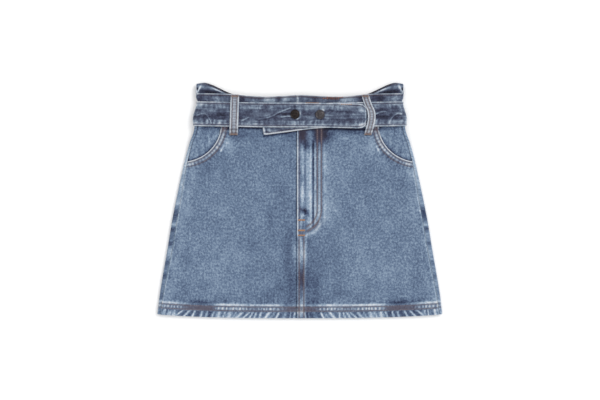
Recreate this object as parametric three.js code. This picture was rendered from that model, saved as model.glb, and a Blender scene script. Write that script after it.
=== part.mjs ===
// A denim mini skirt with its own belt, laid flat on its back. All sizes are in millimetres.
// While it is drafted, X runs across (right as seen from the front), Y runs from the hem up to the
// waist, and Z runs up from the surface that the skirt lies on. Left and right are as seen.
import * as THREE from "three";

// Cloth and the space between pieces
const CLOTH = 1.2; // one layer of denim
const SEAM_GAP = 0.3; // between two pieces that are sewn together or lie on each other
const BAND_CLOTH = 2.2; // the waistband and the belt are folded double
const LOOP_CLOTH = 1.6;

// Levels of the outer faces above the surface
const MIDDLE_TOP = 4.8; // front of the skirt, in the middle
const SIDE_TOP = 5.8; // front of the skirt beside the rolled side fold
const WAIST_TOP = 8.6; // front panel where it meets the waistband
const WAIST_BACK = 4.4; // underside of the back panel where it meets the waistband
const LIFT_FROM = 256; // the panels start to climb over the belt and band here
const LIFT_TO = 299;

// Seams and edges
const WAIST_SEAM = 311;
const HEM_HEIGHT = 17.8;
const HEM_EXTRA = 0.8; // the turned-up hem is this much thicker
const HEM_RAISE = 1.0;
const HEM_RISE = 8; // the hem curves up by this much from the centre to the side
const LAP_EDGE = -3.5; // folded edge of the fly and of the centre seam
const LAP_UNDER = 9; // the left panel reaches this far under it
const LAP_DIP_FROM = -10;
const SEAM_STRIP = 8.6; // right side of the felled centre seam
const SEAM_RAISE = 0.8;
const FLY = { right: 38.5, foot: 174, drop: 41, raise: 0.9, edge: 2.5 };
const MOUTH = { x: 190, y: WAIST_SEAM, across: 68, down: 61.5, raise: 0.5, hem: 10 };
const FACING = { across: 81, down: 76, lowest: 240, level: 4, rise: 12 };

// The skirt's outline when it lies flat: half of its width at each height above the hem, and how
// far the side seam lies inside that edge.
const OUTLINE = [
  { y: 0, half: 228.4, seam: 5.0 },
  { y: 37, half: 224.0, seam: 5.6 },
  { y: 75, half: 217.8, seam: 7.0 },
  { y: 114, half: 211.0, seam: 8.0 },
  { y: 152, half: 204.8, seam: 8.0 },
  { y: 190, half: 197.4, seam: 7.4 },
  { y: 229, half: 189.0, seam: 5.4 },
  { y: 254, half: 183.2, seam: 4.6 },
  { y: 280, half: 176.0, seam: 4.4 },
  { y: 291, half: 171.8, seam: 4.4 },
  { y: 301, half: 168.8, seam: 4.4 },
  { y: 311, half: 167.9, seam: 4.4 },
];
// The same for the waistband: it stands straight above the belt, and widens from there down.
const WAIST_OUTLINE = { straightFrom: 347, half: 164.8, slope: 0.09 };

// Soft folds in the front: centre, half length along the turn from the X axis, half width, height.
const FOLDS = [
  { x: -96, y: 118, length: 95, turn: 74, width: 26, height: 0.9 },
  { x: -152, y: 70, length: 62, turn: 96, width: 18, height: -0.5 },
  { x: -58, y: 216, length: 60, turn: 38, width: 17, height: 0.7 },
  { x: -30, y: 60, length: 58, turn: 88, width: 15, height: -0.45 },
  { x: 62, y: 196, length: 78, turn: 96, width: 16, height: 0.8 },
  { x: 104, y: 104, length: 90, turn: 108, width: 27, height: 0.9 },
  { x: 30, y: 48, length: 50, turn: 82, width: 14, height: -0.5 },
  { x: 158, y: 84, length: 66, turn: 82, width: 19, height: -0.5 },
  { x: 108, y: 226, length: 46, turn: 140, width: 15, height: 0.6 },
];

// Waistband: the height of its top edge at each distance from the centre. The back one stands up
// as a peak at each side and sags out of sight in the middle.
const BAND_FRONT = [
  { x: 0, top: 356.6 },
  { x: 48, top: 354.2 },
  { x: 92, top: 356.0 },
  { x: 114, top: 358.2 },
  { x: 165, top: 359.0 },
];
const BAND_BACK = [
  { x: 0, top: 350.6 },
  { x: 60, top: 351.2 },
  { x: 90, top: 353.4 },
  { x: 112, top: 358.8 },
  { x: 147, top: 375.2 },
  { x: 165, top: 374.2 },
];
const BAND = { axis: 7, inner: 0.4, outer: 2.6 };

// Belt: its middle line at each place across the front, for the layer on top and the one under it.
const BELT_WIDTH = 39.5;
const BELT_OUT = 4.0; // from the fold's axis to the middle of the belt
const BELT_LAYER = BAND_CLOTH + SEAM_GAP;
const OUTER_TIP = 105.5;
const INNER_TIP = -60;
const BELT_OVER = [
  { x: -168, middle: 326.4 },
  { x: -105, middle: 325.4 },
  { x: -60, middle: 324.4 },
  { x: 0, middle: 324.2 },
  { x: 50, middle: 323.6 },
  { x: 105.5, middle: 322.4 },
];
const BELT_UNDER = [
  { x: -60, middle: 311.8 },
  { x: -25, middle: 316.4 },
  { x: 10, middle: 321.0 },
  { x: 50, middle: 324.2 },
  { x: 105, middle: 325.4 },
  { x: 168, middle: 326.4 },
];
// How the belt narrows over its last few millimetres, so that each tip has round corners.
const OUTER_CORNERS = [
  { from: 0, half: 11.5 },
  { from: 1.2, half: 14.6 },
  { from: 3.6, half: 17.4 },
  { from: 7.5, half: 19.0 },
  { from: 13, half: 19.75 },
];
const INNER_CORNERS = [
  { from: 0, half: 17.4 },
  { from: 0.9, half: 18.9 },
  { from: 2.6, half: 19.75 },
];

// Belt loops: where each one's middle line runs. Those of the back are straight.
const LOOP_WIDTH = 14;
const LOOP_FOOT = 292;
const FRONT_LOOPS = {
  loop_front_left: [
    { y: 292, x: -105.6 },
    { y: 357, x: -103.4 },
  ],
  loop_front_right: [
    { y: 292, x: 110.6 },
    { y: 304, x: 113.4 },
    { y: 317, x: 116.0 },
    { y: 330, x: 116.0 },
    { y: 342, x: 111.8 },
    { y: 357, x: 104.4 },
  ],
};
const BACK_LOOPS = { loop_back_left: -98, loop_back_centre: 0, loop_back_right: 98 };
const LOOP_RAMP = 4.5;

// Press studs that close the belt
const STUD_RADIUS = 7.5;
const STUD_HEIGHT = 2.0;
const STUDS = { stud_left: { x: -7, y: 325.4 }, stud_right: { x: 32.8, y: 325.0 } };

const DENIM = { color: 0x6e819b, roughness: 0.92, metalness: 0 };
const DARK_DENIM = { color: 0x5a6377, roughness: 0.92, metalness: 0 };
const WORN_DENIM = { color: 0x8e96a3, roughness: 0.92, metalness: 0 };
const BRONZE = { color: 0x2d2826, roughness: 0.38, metalness: 0.9 };
const GUNMETAL = { color: 0x4e4b4e, roughness: 0.42, metalness: 0.9 };

const mix = (a, b, t) => a + (b - a) * t;
const smooth = (t) => THREE.MathUtils.smoothstep(t, 0, 1);
const ramp = (value, from, to) => smooth((value - from) / (to - from));

// A smooth curve through a table's rows, from one named column to another.
function along(rows, at, from, to) {
  const last = rows.length - 1;
  if (at <= rows[0][from]) return rows[0][to];
  if (at >= rows[last][from]) return rows[last][to];
  const i = rows.findIndex((row) => row[from] > at) - 1;
  const slope = (k) => {
    const [a, b] = [rows[Math.max(k - 1, 0)], rows[Math.min(k + 1, last)]];
    return (b[to] - a[to]) / (b[from] - a[from]);
  };
  const span = rows[i + 1][from] - rows[i][from];
  const t = (at - rows[i][from]) / span;
  const bend = t * t * (3 - 2 * t);
  return (
    mix(rows[i][to], rows[i + 1][to], bend) +
    span * (t * (1 - t) ** 2 * slope(i) - t * t * (1 - t) * slope(i + 1))
  );
}

// Plan of the skirt
const halfWidth = (y) => along(OUTLINE, y, "y", "half");
const seamX = (y) => halfWidth(y) - along(OUTLINE, y, "y", "seam");
const hemY = (x) => HEM_RISE * Math.abs(x / OUTLINE[0].half) ** 3;
const inHem = (x, y) => 1 - ramp(y - hemY(x), HEM_HEIGHT - 1, HEM_HEIGHT + 1.4);
const liftAt = (y) => ramp(y, LIFT_FROM, LIFT_TO);

// Height of the soft folds: each is a bump that fades along and across its line.
function foldHeight(x, y) {
  let height = 0;
  for (const fold of FOLDS) {
    const turn = THREE.MathUtils.degToRad(fold.turn);
    const [dx, dy] = [x - fold.x, y - fold.y];
    const lengthwise = (dx * Math.cos(turn) + dy * Math.sin(turn)) / fold.length;
    const across = (dy * Math.cos(turn) - dx * Math.sin(turn)) / fold.width;
    height += fold.height * Math.exp(-1.5 * (lengthwise ** 2 + across ** 2));
  }
  return height;
}

// Outer face of the front, before seams, fly and pockets are raised on it.
function frontTop(x, y) {
  const side = ramp(Math.abs(x), halfWidth(y) - 78, halfWidth(y) - 14);
  const lift = liftAt(y);
  const body = mix(MIDDLE_TOP, SIDE_TOP, side) + HEM_RAISE * inHem(x, y);
  return mix(body, WAIST_TOP, lift) + (1 - side) * (1 - lift) * (1 - inHem(x, y)) * foldHeight(x, y);
}
const hemCloth = (x, y) => CLOTH + HEM_EXTRA * inHem(x, y);
const backUnder = (y) => WAIST_BACK * liftAt(y);

// How far inside the fly's J-shaped edge a point lies.
function insideFly(x, y) {
  if (y >= FLY.foot) return FLY.right - x;
  return FLY.right * (1 - Math.hypot(x / FLY.right, (FLY.foot - y) / FLY.drop));
}
// How far a point lies below the pocket mouth's edge; it is below zero in the open pocket.
function belowMouth(x, y, mouth = MOUTH) {
  const round = Math.hypot((mouth.x - Math.abs(x)) / mouth.across, (mouth.y - y) / mouth.down);
  return (round - 1) * (mouth.across + mouth.down) * 0.5;
}
const mouthPoint = (angle) => [MOUTH.x - MOUTH.across * Math.cos(angle), MOUTH.y - MOUTH.down * Math.sin(angle)];

// A closed wall between an outer and an inner grid of points, each given by its column and row.
function wall(columns, rows, outer, inner) {
  const points = [];
  for (const face of [outer, inner])
    for (let j = 0; j <= rows; j++) for (let i = 0; i <= columns; i++) points.push(...face(i, j));
  const at = (i, j, k) => (k * (rows + 1) + j) * (columns + 1) + i;
  const quads = [];
  for (let j = 0; j < rows; j++)
    for (let i = 0; i < columns; i++) {
      quads.push([at(i, j, 0), at(i + 1, j, 0), at(i + 1, j + 1, 0), at(i, j + 1, 0)]);
      quads.push([at(i, j + 1, 1), at(i + 1, j + 1, 1), at(i + 1, j, 1), at(i, j, 1)]);
    }
  for (let i = 0; i < columns; i++) {
    quads.push([at(i, 0, 1), at(i + 1, 0, 1), at(i + 1, 0, 0), at(i, 0, 0)]);
    quads.push([at(i, rows, 0), at(i + 1, rows, 0), at(i + 1, rows, 1), at(i, rows, 1)]);
  }
  for (let j = 0; j < rows; j++) {
    quads.push([at(0, j, 0), at(0, j + 1, 0), at(0, j + 1, 1), at(0, j, 1)]);
    quads.push([at(columns, j, 1), at(columns, j + 1, 1), at(columns, j + 1, 0), at(columns, j, 0)]);
  }
  return closedBody(points, quads);
}

// A closed strap: rings of points joined one after another, with a flat cap on each end.
function strap(rings) {
  const size = rings[0].length;
  const quads = [];
  for (let r = 0; r + 1 < rings.length; r++)
    for (let k = 0; k < size; k++) {
      const next = (k + 1) % size;
      quads.push([r * size + k, r * size + next, (r + 1) * size + next, (r + 1) * size + k]);
    }
  const end = (rings.length - 1) * size;
  for (let k = 1; k + 1 < size; k++) {
    quads.push([0, k + 1, k]);
    quads.push([end, end + k, end + k + 1]);
  }
  return closedBody(rings.flat(2), quads);
}

// Triangles with their faces turned outwards, from faces of three or four corners.
function closedBody(points, faces) {
  const index = [];
  for (const [a, b, c, d] of faces) {
    index.push(a, b, c);
    if (d !== undefined) index.push(a, c, d);
  }
  const corner = (k) => new THREE.Vector3().fromArray(points, 3 * k);
  let volume = 0;
  for (let k = 0; k < index.length; k += 3)
    volume += corner(index[k]).dot(corner(index[k + 1]).cross(corner(index[k + 2])));
  if (volume < 0) index.reverse();
  const geometry = new THREE.BufferGeometry();
  geometry.setAttribute("position", new THREE.Float32BufferAttribute(points, 3));
  geometry.setIndex(index);
  geometry.computeVertexNormals();
  return geometry;
}

// Rows of a front panel: how high each one lies between the hem (0) and the panel's top edge (1),
// plus a distance in millimetres from the hem or down from the top.
function panelRows(middleRows) {
  const low = HEM_HEIGHT + 1.4;
  const high = MOUTH.hem + 1.2;
  const rows = [[0, 0], [0, HEM_HEIGHT - 1], [0, low]];
  for (let k = 1; k < middleRows; k++) rows.push([k / middleRows, mix(low, -high, k / middleRows)]);
  return [...rows, [1, -high], [1, -MOUTH.hem], [1, -SEAM_GAP / 2]];
}

// Columns of a front panel, from the centre to the side seam: where each one starts on the hem and
// where it ends, on the waist seam or on the edge of the pocket mouth.
function panelColumns(centre) {
  const corner = mouthPoint(0)[0];
  const hemCorner = 168;
  const hemSide = seamX(HEM_RISE);
  const straight = FLY.right + 1.5;
  const columns = centre.map((x) => ({ hem: x, top: [x, WAIST_SEAM] }));
  for (const x of [50, 64, 79, 94, 109, corner])
    columns.push({ hem: mix(straight, hemCorner, (x - straight) / (corner - straight)), top: [x, WAIST_SEAM] });
  const last = Math.acos((MOUTH.x - seamX(MOUTH.y - MOUTH.down)) / MOUTH.across);
  const steps = 8;
  for (let k = 1; k <= steps; k++)
    columns.push({ hem: mix(hemCorner, hemSide, k / steps), top: mouthPoint((last * k) / steps) });
  return columns;
}

// The place of a front panel's grid point in plan, for x counted away from the centre.
function panelPoint(column, row) {
  const [share, offset] = row;
  const bottom = hemY(column.hem);
  const y = mix(bottom, column.top[1], share) + offset;
  const level = (y - bottom) / (column.top[1] - bottom);
  const straightSeam = mix(seamX(HEM_RISE), seamX(MOUTH.y - MOUTH.down), y / (MOUTH.y - MOUTH.down));
  const reach = (column.hem / seamX(HEM_RISE)) ** 4 * (1 - ramp(y, 225, 250));
  const x = mix(column.hem, column.top[0], level) + reach * (seamX(y) - straightSeam);
  const inside = column.hem > 200 ? Math.min(x, seamX(y) - SEAM_GAP / 2) : x;
  return [inside, y];
}

// Right front panel: it carries the fly, and its folded edge laps over the left panel.
function rightFront() {
  const centre = [LAP_EDGE, LAP_EDGE + 2, 2.5, SEAM_STRIP, SEAM_STRIP + 2, 17, 25, 32, 36, FLY.right + 1.5];
  const columns = panelColumns(centre);
  const rows = panelRows(20);
  const outer = (i, j) => {
    const [x, y] = panelPoint(columns[i], rows[j]);
    return [x, y, frontTop(x, y) + rightRaise(x, y)];
  };
  const inner = (i, j) => {
    const [x, y] = panelPoint(columns[i], rows[j]);
    return [x, y, frontTop(x, y) - hemCloth(x, y)];
  };
  return wall(columns.length - 1, rows.length - 1, outer, inner);
}

// What stands proud on the right panel: the centre seam, the fly and the pocket's turned edge.
function rightRaise(x, y) {
  const strip = SEAM_RAISE * (1 - ramp(x, SEAM_STRIP, SEAM_STRIP + 2));
  const fly = FLY.raise * smooth(insideFly(x, y) / FLY.edge);
  return Math.max(strip, fly) + mouthRaise(x, y);
}
const mouthRaise = (x, y) => MOUTH.raise * (1 - ramp(belowMouth(x, y), MOUTH.hem, MOUTH.hem + 1.2));

// Left front panel: it dips at the centre and runs on under the right panel.
function leftFront() {
  const columns = panelColumns([-LAP_UNDER, -1, 3.8, 5.6, 8, -LAP_DIP_FROM, 20, 32, FLY.right + 1.5]);
  const rows = panelRows(20);
  const under = (x, y) => ramp(x, LAP_DIP_FROM, LAP_EDGE - SEAM_GAP);
  const top = (x, y) => {
    const lapped = frontTop(x, y) - hemCloth(x, y) - SEAM_GAP;
    return mix(frontTop(x, y) + mouthRaise(x, y), lapped, under(x, y));
  };
  const cloth = (x, y) => mix(hemCloth(x, y) + mouthRaise(x, y), CLOTH, under(x, y));
  const place = (i, j) => {
    const [x, y] = panelPoint(columns[i], rows[j]);
    return [-x, y];
  };
  const outer = (i, j) => {
    const [x, y] = place(i, j);
    return [x, y, top(x, y)];
  };
  const inner = (i, j) => {
    const [x, y] = place(i, j);
    return [x, y, top(x, y) - cloth(x, y)];
  };
  return wall(columns.length - 1, rows.length - 1, outer, inner);
}

// The side piece that shows inside a pocket mouth. It runs on under the front panel.
function pocketFacing(side) {
  const [columns, rows] = [11, 12];
  const hidden = { ...MOUTH, across: FACING.across, down: FACING.down };
  const place = (i, j) => {
    const y = mix(FACING.lowest, WAIST_SEAM - SEAM_GAP / 2, j / rows);
    const inner = hidden.x - hidden.across * Math.sqrt(Math.max(0, 1 - ((hidden.y - y) / hidden.down) ** 2));
    return [mix(seamX(y) - SEAM_GAP / 2, inner, i / columns), y];
  };
  const top = (x, y) => {
    const open = smooth((-belowMouth(x, y) - FACING.level) / FACING.rise);
    return frontTop(x, y) - (1 - open) * (CLOTH + SEAM_GAP);
  };
  const face = (drop) => (i, j) => {
    const [x, y] = place(i, j);
    return [side * x, y, top(x, y) - drop];
  };
  return wall(columns, rows, face(0), face(CLOTH));
}

// Half of the back: flat on the surface, round the side fold and on to the side seam on the front.
function backPanel(side) {
  const flat = [0.5 * SEAM_GAP, 40, 85, 130, 165];
  const turns = 8;
  const topRun = 2;
  const columns = flat.length + turns + topRun;
  const offsets = [[0, 0], [0, HEM_HEIGHT - 1], [0, HEM_HEIGHT + 1.4]];
  const middleRows = 19;
  for (let k = 1; k < middleRows; k++) offsets.push([k / middleRows, mix(HEM_HEIGHT + 1.4, -5, k / middleRows)]);
  const rows = [...offsets, [1, -5], [1, -SEAM_GAP / 2]];
  const last = flat.at(-1);
  const flatX = (x, end) => x * mix(1, (end - 14) / last, (x / last) ** 2);
  const face = (inside) => (i, j) => {
    const [share, offset] = rows[j];
    const bottom = hemY(i < flat.length ? flatX(flat[i], OUTLINE[0].half - SIDE_TOP / 2) : OUTLINE[0].half);
    const y = mix(bottom, WAIST_SEAM, share) + offset;
    const half = halfWidth(y);
    const low = backUnder(y);
    const high = frontTop(half, y);
    const radius = (high - low) / 2;
    const cloth = inside * hemCloth(half, y);
    const foldStart = half - radius;
    if (i < flat.length) return [side * flatX(flat[i], foldStart), y, low + cloth];
    if (i <= flat.length + turns) {
      const angle = Math.PI * ((i - flat.length) / turns - 0.5);
      const reach = radius - cloth;
      return [side * (foldStart + reach * Math.cos(angle)), y, low + radius + reach * Math.sin(angle)];
    }
    const share2 = (i - flat.length - turns) / topRun;
    return [side * mix(foldStart, seamX(y) + SEAM_GAP / 2, share2), y, high - cloth];
  };
  return wall(columns, rows.length - 1, face(0), face(1));
}

// A point on something wrapped round the waist, at a distance out from the fold's axis. A place is
// {x} on the back or front run, or {turn} round a side fold, from -90 degrees (back) to 90.
function wrapped(place, y, out) {
  if (place.turn === undefined) return [place.x, y, BAND.axis + (place.back ? -out : out)];
  const turn = THREE.MathUtils.degToRad(place.turn);
  const below = Math.max(0, WAIST_OUTLINE.straightFrom - y);
  const axisX = WAIST_OUTLINE.half + WAIST_OUTLINE.slope * below - BAND.outer;
  return [place.side * (axisX + out * Math.cos(turn)), y, BAND.axis + out * Math.sin(turn)];
}

// Places along half of the waist, from the centre of the back round one side to the front.
function waistPlaces(side, backX, frontX, turns) {
  const places = backX.map((x) => ({ x: side * x, side, back: true }));
  for (let k = 0; k <= turns; k++) places.push({ turn: -90 + (180 * k) / turns, side });
  return [...places, ...frontX.map((x) => ({ x: side * x, side, back: false }))];
}

// Half of the waistband, a folded strip with soft edges, from the centre of the back to the fly.
function waistband(side) {
  const last = side > 0 ? LAP_EDGE : -LAP_EDGE + SEAM_GAP;
  const back = [SEAM_GAP / 2, 30, 60, 82, 98, 112, 124, 136, 147, 155];
  const front = [150, 132, 116, 104, 92, 70, 48, 24, last];
  const rings = waistPlaces(side, back, front, 8).map((place) => {
    const backTop = along(BAND_BACK, Math.abs(place.x ?? BAND_BACK.at(-1).x), "x", "top");
    const frontTopEdge = along(BAND_FRONT, Math.abs(place.x ?? BAND_FRONT.at(-1).x), "x", "top");
    const share = place.turn === undefined ? (place.back ? 0 : 1) : ramp(place.turn, -60, 80);
    const top = mix(backTop, frontTopEdge, share);
    const bottom = WAIST_SEAM + SEAM_GAP / 2;
    const [inner, outer] = [BAND.inner, BAND.outer];
    const section = [
      [bottom, inner],
      [WAIST_OUTLINE.straightFrom, inner],
      [top - 0.8, inner],
      [top, inner + 0.6],
      [top, outer - 0.6],
      [top - 0.8, outer],
      [WAIST_OUTLINE.straightFrom, outer],
      [bottom, outer],
    ];
    return section.map(([y, out]) => wrapped(place, y, out));
  });
  return strap(rings);
}

// The belt in one strip: its outer tip, the layer on top, round the left side, the back and the
// right side, and the layer under it to the inner tip, which shows below the top layer.
function belt() {
  const spread = [150, 125, 98];
  const stations = [];
  for (const { from, half } of OUTER_CORNERS)
    stations.push({ x: OUTER_TIP - from, half, layer: 1, table: BELT_OVER });
  for (const x of [74, 52, 32, 12, -8, -28, -46, -62, -69, -76, -84, -100, -125, -150])
    stations.push({ x, layer: 1 - ramp(-x, 64, 82), table: BELT_OVER });
  const turns = 8;
  for (let k = 0; k <= turns; k++) stations.push({ turn: 90 - (180 * k) / turns, side: -1 });
  for (const x of [...spread.map((v) => -v), -60, -20, 20, 60, ...spread.toReversed()])
    stations.push({ x, back: true });
  for (let k = 0; k <= turns; k++) stations.push({ turn: -90 + (180 * k) / turns, side: 1 });
  for (const x of [150, 125, 98, 74, 50, 30, 10, -10, -30, -46])
    stations.push({ x, layer: 0, table: BELT_UNDER });
  for (const { from, half } of INNER_CORNERS.toReversed())
    stations.push({ x: INNER_TIP + from, half, layer: 0, table: BELT_UNDER });
  return strap(stations.map(beltRing));
}

// One cross-section of the belt, square to the way that the belt runs there.
function beltRing(station) {
  const half = station.half ?? BELT_WIDTH / 2;
  const thick = BAND_CLOTH / 2;
  const edge = 0.9;
  const section = [
    [-half, 0],
    [-half + edge, -thick],
    [0, -thick],
    [half - edge, -thick],
    [half, 0],
    [half - edge, thick],
    [0, thick],
    [-half + edge, thick],
  ];
  const { table, x } = station;
  const middle = table ? along(table, x, "x", "middle") : BELT_OVER[0].middle;
  const slope = table ? (along(table, x + 2, "x", "middle") - along(table, x - 2, "x", "middle")) / 4 : 0;
  const lean = Math.atan(slope);
  return section.map(([w, n]) => {
    const out = BELT_OUT + n + (station.layer ?? 0) * BELT_LAYER;
    const place = x === undefined ? station : { ...station, x: x - w * Math.sin(lean) };
    return wrapped(place, middle + w * Math.cos(lean), out);
  });
}

// A belt loop on the front: sewn on the band's top edge, over the belt, and sewn on the panel.
function frontLoop(path) {
  const top = path.at(-1).y + 0.4;
  const beltLevel = BAND.axis + BELT_OUT + BAND_CLOTH / 2 + SEAM_GAP;
  const bandLevel = BAND.axis + BAND.outer + SEAM_GAP;
  const [beltLow, beltHigh] = [303, 346.4];
  const under = (x, y) => {
    const panel = frontTop(x, Math.min(y, LOOP_FOOT + 6)) + SEAM_GAP;
    const low = mix(panel, beltLevel, ramp(y, beltLow - LOOP_RAMP, beltLow));
    return mix(low, bandLevel, ramp(y, beltHigh, beltHigh + LOOP_RAMP));
  };
  return loopWall(path, LOOP_FOOT, top, (x, y) => [under(x, y), under(x, y) + LOOP_CLOTH]);
}

// A belt loop on the back, which the skirt lies on.
function backLoop(x) {
  const top = along(BAND_BACK, Math.abs(x), "x", "top") + 0.4;
  const [beltLow, beltHigh] = [303, 346.6];
  const over = (y) => {
    const low = mix(backUnder(LOOP_FOOT) - SEAM_GAP, LOOP_CLOTH, ramp(y, beltLow - LOOP_RAMP, beltLow));
    const bandLevel = BAND.axis - BAND.outer - SEAM_GAP;
    return mix(low, bandLevel, ramp(y, beltHigh, beltHigh + LOOP_RAMP));
  };
  const path = [{ y: LOOP_FOOT, x }, { y: top, x }];
  return loopWall(path, LOOP_FOOT, top, (_, y) => [over(y) - LOOP_CLOTH, over(y)]);
}

// A loop's strip along its middle line, between two levels.
function loopWall(path, from, to, levels) {
  const steps = [0, 0.04, 0.09, 0.13, 0.18, 0.28, 0.42, 0.56, 0.7, 0.82, 0.86, 0.9, 0.93, 0.97, 1];
  const columns = 2;
  const face = (k) => (i, j) => {
    const y = mix(from, to, steps[j]);
    const slope = (along(path, y + 1, "y", "x") - along(path, y - 1, "y", "x")) / 2;
    const x = along(path, y, "y", "x") + (i / columns - 0.5) * LOOP_WIDTH * Math.hypot(1, slope);
    return [x, y, levels(x, y)[k]];
  };
  return wall(columns, steps.length - 1, face(1), face(0));
}

// A press stud's cap: a low dome with a rolled rim, lying on the top layer of the belt.
function stud() {
  const profile = [
    [0, 0],
    [STUD_RADIUS - 0.5, 0],
    [STUD_RADIUS, 0.5],
    [STUD_RADIUS - 0.1, 1.1],
    [STUD_RADIUS - 0.8, 1.55],
    [STUD_RADIUS - 1.4, 1.4],
    [STUD_RADIUS - 2.4, 1.65],
    [STUD_RADIUS * 0.35, STUD_HEIGHT - 0.05],
    [0, STUD_HEIGHT],
  ].map(([radius, height]) => new THREE.Vector2(radius, height));
  return new THREE.LatheGeometry(profile, 28).rotateX(Math.PI / 2);
}

const skirt = new THREE.Group();
const laid = new THREE.Group();
skirt.add(laid);

function piece(name, geometry, finish) {
  const mesh = new THREE.Mesh(geometry, new THREE.MeshStandardMaterial(finish));
  mesh.name = name;
  laid.add(mesh);
  return mesh;
}

piece("front_right", rightFront(), DENIM);
piece("front_left", leftFront(), DENIM);
for (const [name, side] of [["left", -1], ["right", 1]]) {
  piece("back_" + name, backPanel(side), DENIM);
  piece("pocket_facing_" + name, pocketFacing(side), DENIM);
  piece("waistband_" + name, waistband(side), DARK_DENIM);
}
piece("belt", belt(), DARK_DENIM);
for (const [name, path] of Object.entries(FRONT_LOOPS)) piece(name, frontLoop(path), WORN_DENIM);
for (const [name, x] of Object.entries(BACK_LOOPS)) piece(name, backLoop(x), WORN_DENIM);
for (const [name, place] of Object.entries(STUDS)) {
  const cap = piece(name, stud(), name === "stud_left" ? BRONZE : GUNMETAL);
  const level = BAND.axis + BELT_OUT + BAND_CLOTH / 2 + BELT_LAYER + SEAM_GAP;
  cap.position.set(place.x, place.y, level);
}

// The part's own frame: its origin is under the middle of its outline, on the surface.
const box = new THREE.Box3().setFromObject(laid);
laid.position.set(-(box.min.x + box.max.x) / 2, -(box.min.y + box.max.y) / 2, -box.min.z);

export default skirt;
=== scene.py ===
import bpy
import numpy as np
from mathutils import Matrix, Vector


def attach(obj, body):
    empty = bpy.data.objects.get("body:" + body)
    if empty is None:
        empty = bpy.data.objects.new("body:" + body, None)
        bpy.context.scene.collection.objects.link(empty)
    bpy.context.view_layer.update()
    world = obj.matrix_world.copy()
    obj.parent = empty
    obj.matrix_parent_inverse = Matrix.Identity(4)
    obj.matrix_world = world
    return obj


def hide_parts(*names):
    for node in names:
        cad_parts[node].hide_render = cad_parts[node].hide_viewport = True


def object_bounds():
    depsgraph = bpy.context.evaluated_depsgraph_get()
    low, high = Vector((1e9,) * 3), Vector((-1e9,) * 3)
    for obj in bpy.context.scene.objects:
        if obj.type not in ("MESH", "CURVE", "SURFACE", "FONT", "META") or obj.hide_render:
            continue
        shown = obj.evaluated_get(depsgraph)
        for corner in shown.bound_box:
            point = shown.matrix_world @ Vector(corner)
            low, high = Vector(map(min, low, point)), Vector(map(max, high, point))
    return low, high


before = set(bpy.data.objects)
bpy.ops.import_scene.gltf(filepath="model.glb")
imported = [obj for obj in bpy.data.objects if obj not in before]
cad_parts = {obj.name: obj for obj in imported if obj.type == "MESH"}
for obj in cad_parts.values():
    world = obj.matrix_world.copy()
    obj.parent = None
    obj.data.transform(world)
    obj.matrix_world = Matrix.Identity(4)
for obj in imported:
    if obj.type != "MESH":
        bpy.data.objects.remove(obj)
cad_low, cad_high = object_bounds()

VIEW_HEIGHT = 3.2
VIEW_WIDTH = 0.96
VIEW_CENTRE = (0.0003, 0.001)
SENSOR_WIDTH = 36
camera_data = bpy.data.cameras.new("camera")
camera_data.sensor_width = SENSOR_WIDTH
camera_data.lens = SENSOR_WIDTH * VIEW_HEIGHT / VIEW_WIDTH
camera = bpy.data.objects.new("camera", camera_data)
camera.location = (*VIEW_CENTRE, VIEW_HEIGHT)
bpy.context.collection.objects.link(camera)
bpy.context.scene.camera = camera
bpy.context.scene.view_settings.view_transform = "Standard"

SKY_STRENGTH = 0.94
SUN_STRENGTH = 1.1
SUN_SOFTNESS = 0.5
SUN_FROM = (0.62, 0.4, 0.7)
sky = bpy.data.worlds.new("sky")
sky.use_nodes = True
sky.node_tree.nodes["Background"].inputs["Color"].default_value = (1, 1, 1, 1)
sky.node_tree.nodes["Background"].inputs["Strength"].default_value = SKY_STRENGTH
bpy.context.scene.world = sky
sun_data = bpy.data.lights.new("sun", "SUN")
sun_data.energy = SUN_STRENGTH
sun_data.angle = SUN_SOFTNESS
sun = bpy.data.objects.new("sun", sun_data)
sun.rotation_euler = Vector(SUN_FROM).to_track_quat("Z", "Y").to_euler()
bpy.context.collection.objects.link(sun)

TABLE_HALF = 4.0
TABLE_DROP = 0.0003
table_mesh = bpy.data.meshes.new("table")
TABLE_CORNERS = [(-1, -1), (1, -1), (1, 1), (-1, 1)]
table_corners = [(x * TABLE_HALF, y * TABLE_HALF, -TABLE_DROP) for x, y in TABLE_CORNERS]
table_mesh.from_pydata(table_corners, [], [(0, 1, 2, 3)])
table_paint = bpy.data.materials.new("table_paint")
table_paint.use_nodes = True
table_paint.node_tree.nodes["Principled BSDF"].inputs["Base Color"].default_value = (0.97, 0.97, 0.97, 1)
table_paint.node_tree.nodes["Principled BSDF"].inputs["Roughness"].default_value = 0.95
table_mesh.materials.append(table_paint)
table = bpy.data.objects.new("table", table_mesh)
bpy.context.collection.objects.link(table)

# The back of the skirt: two halves of washed denim with a plain centre seam. Each lies flat on the
# table, rolls round the side fold and runs on to the side seam on the front. The hem is turned up.
# Sizes are in millimetres: x across from the centre, y up from the hem's lowest point, z up.
MM = 0.001
HEM_LOWEST = cad_low.y / MM
CLOTH = 1.2
SEAM_GAP = 0.3
OUTLINE = {
    "y": [0, 37, 75, 114, 152, 190, 229, 254, 280, 291, 301, 311],
    "half": [228.4, 224.0, 217.8, 211.0, 204.8, 197.4, 189.0, 183.2, 176.0, 171.8, 168.8, 167.9],
    "seam": [5.0, 5.6, 7.0, 8.0, 8.0, 7.4, 5.4, 4.6, 4.4, 4.4, 4.4, 4.4],
}
WAIST_SEAM = 311
HEM_RISE = 6.2
HEM_HEIGHT = 17.8
HEM_EXTRA = 0.8
HEM_RAISE = 1.0
HEM_ROWS = (11.2, 17.8)
MIDDLE_TOP = 4.8
SIDE_TOP = 5.8
WAIST_TOP = 8.6
WAIST_BACK = 4.4
LIFT = (256, 299)
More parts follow.
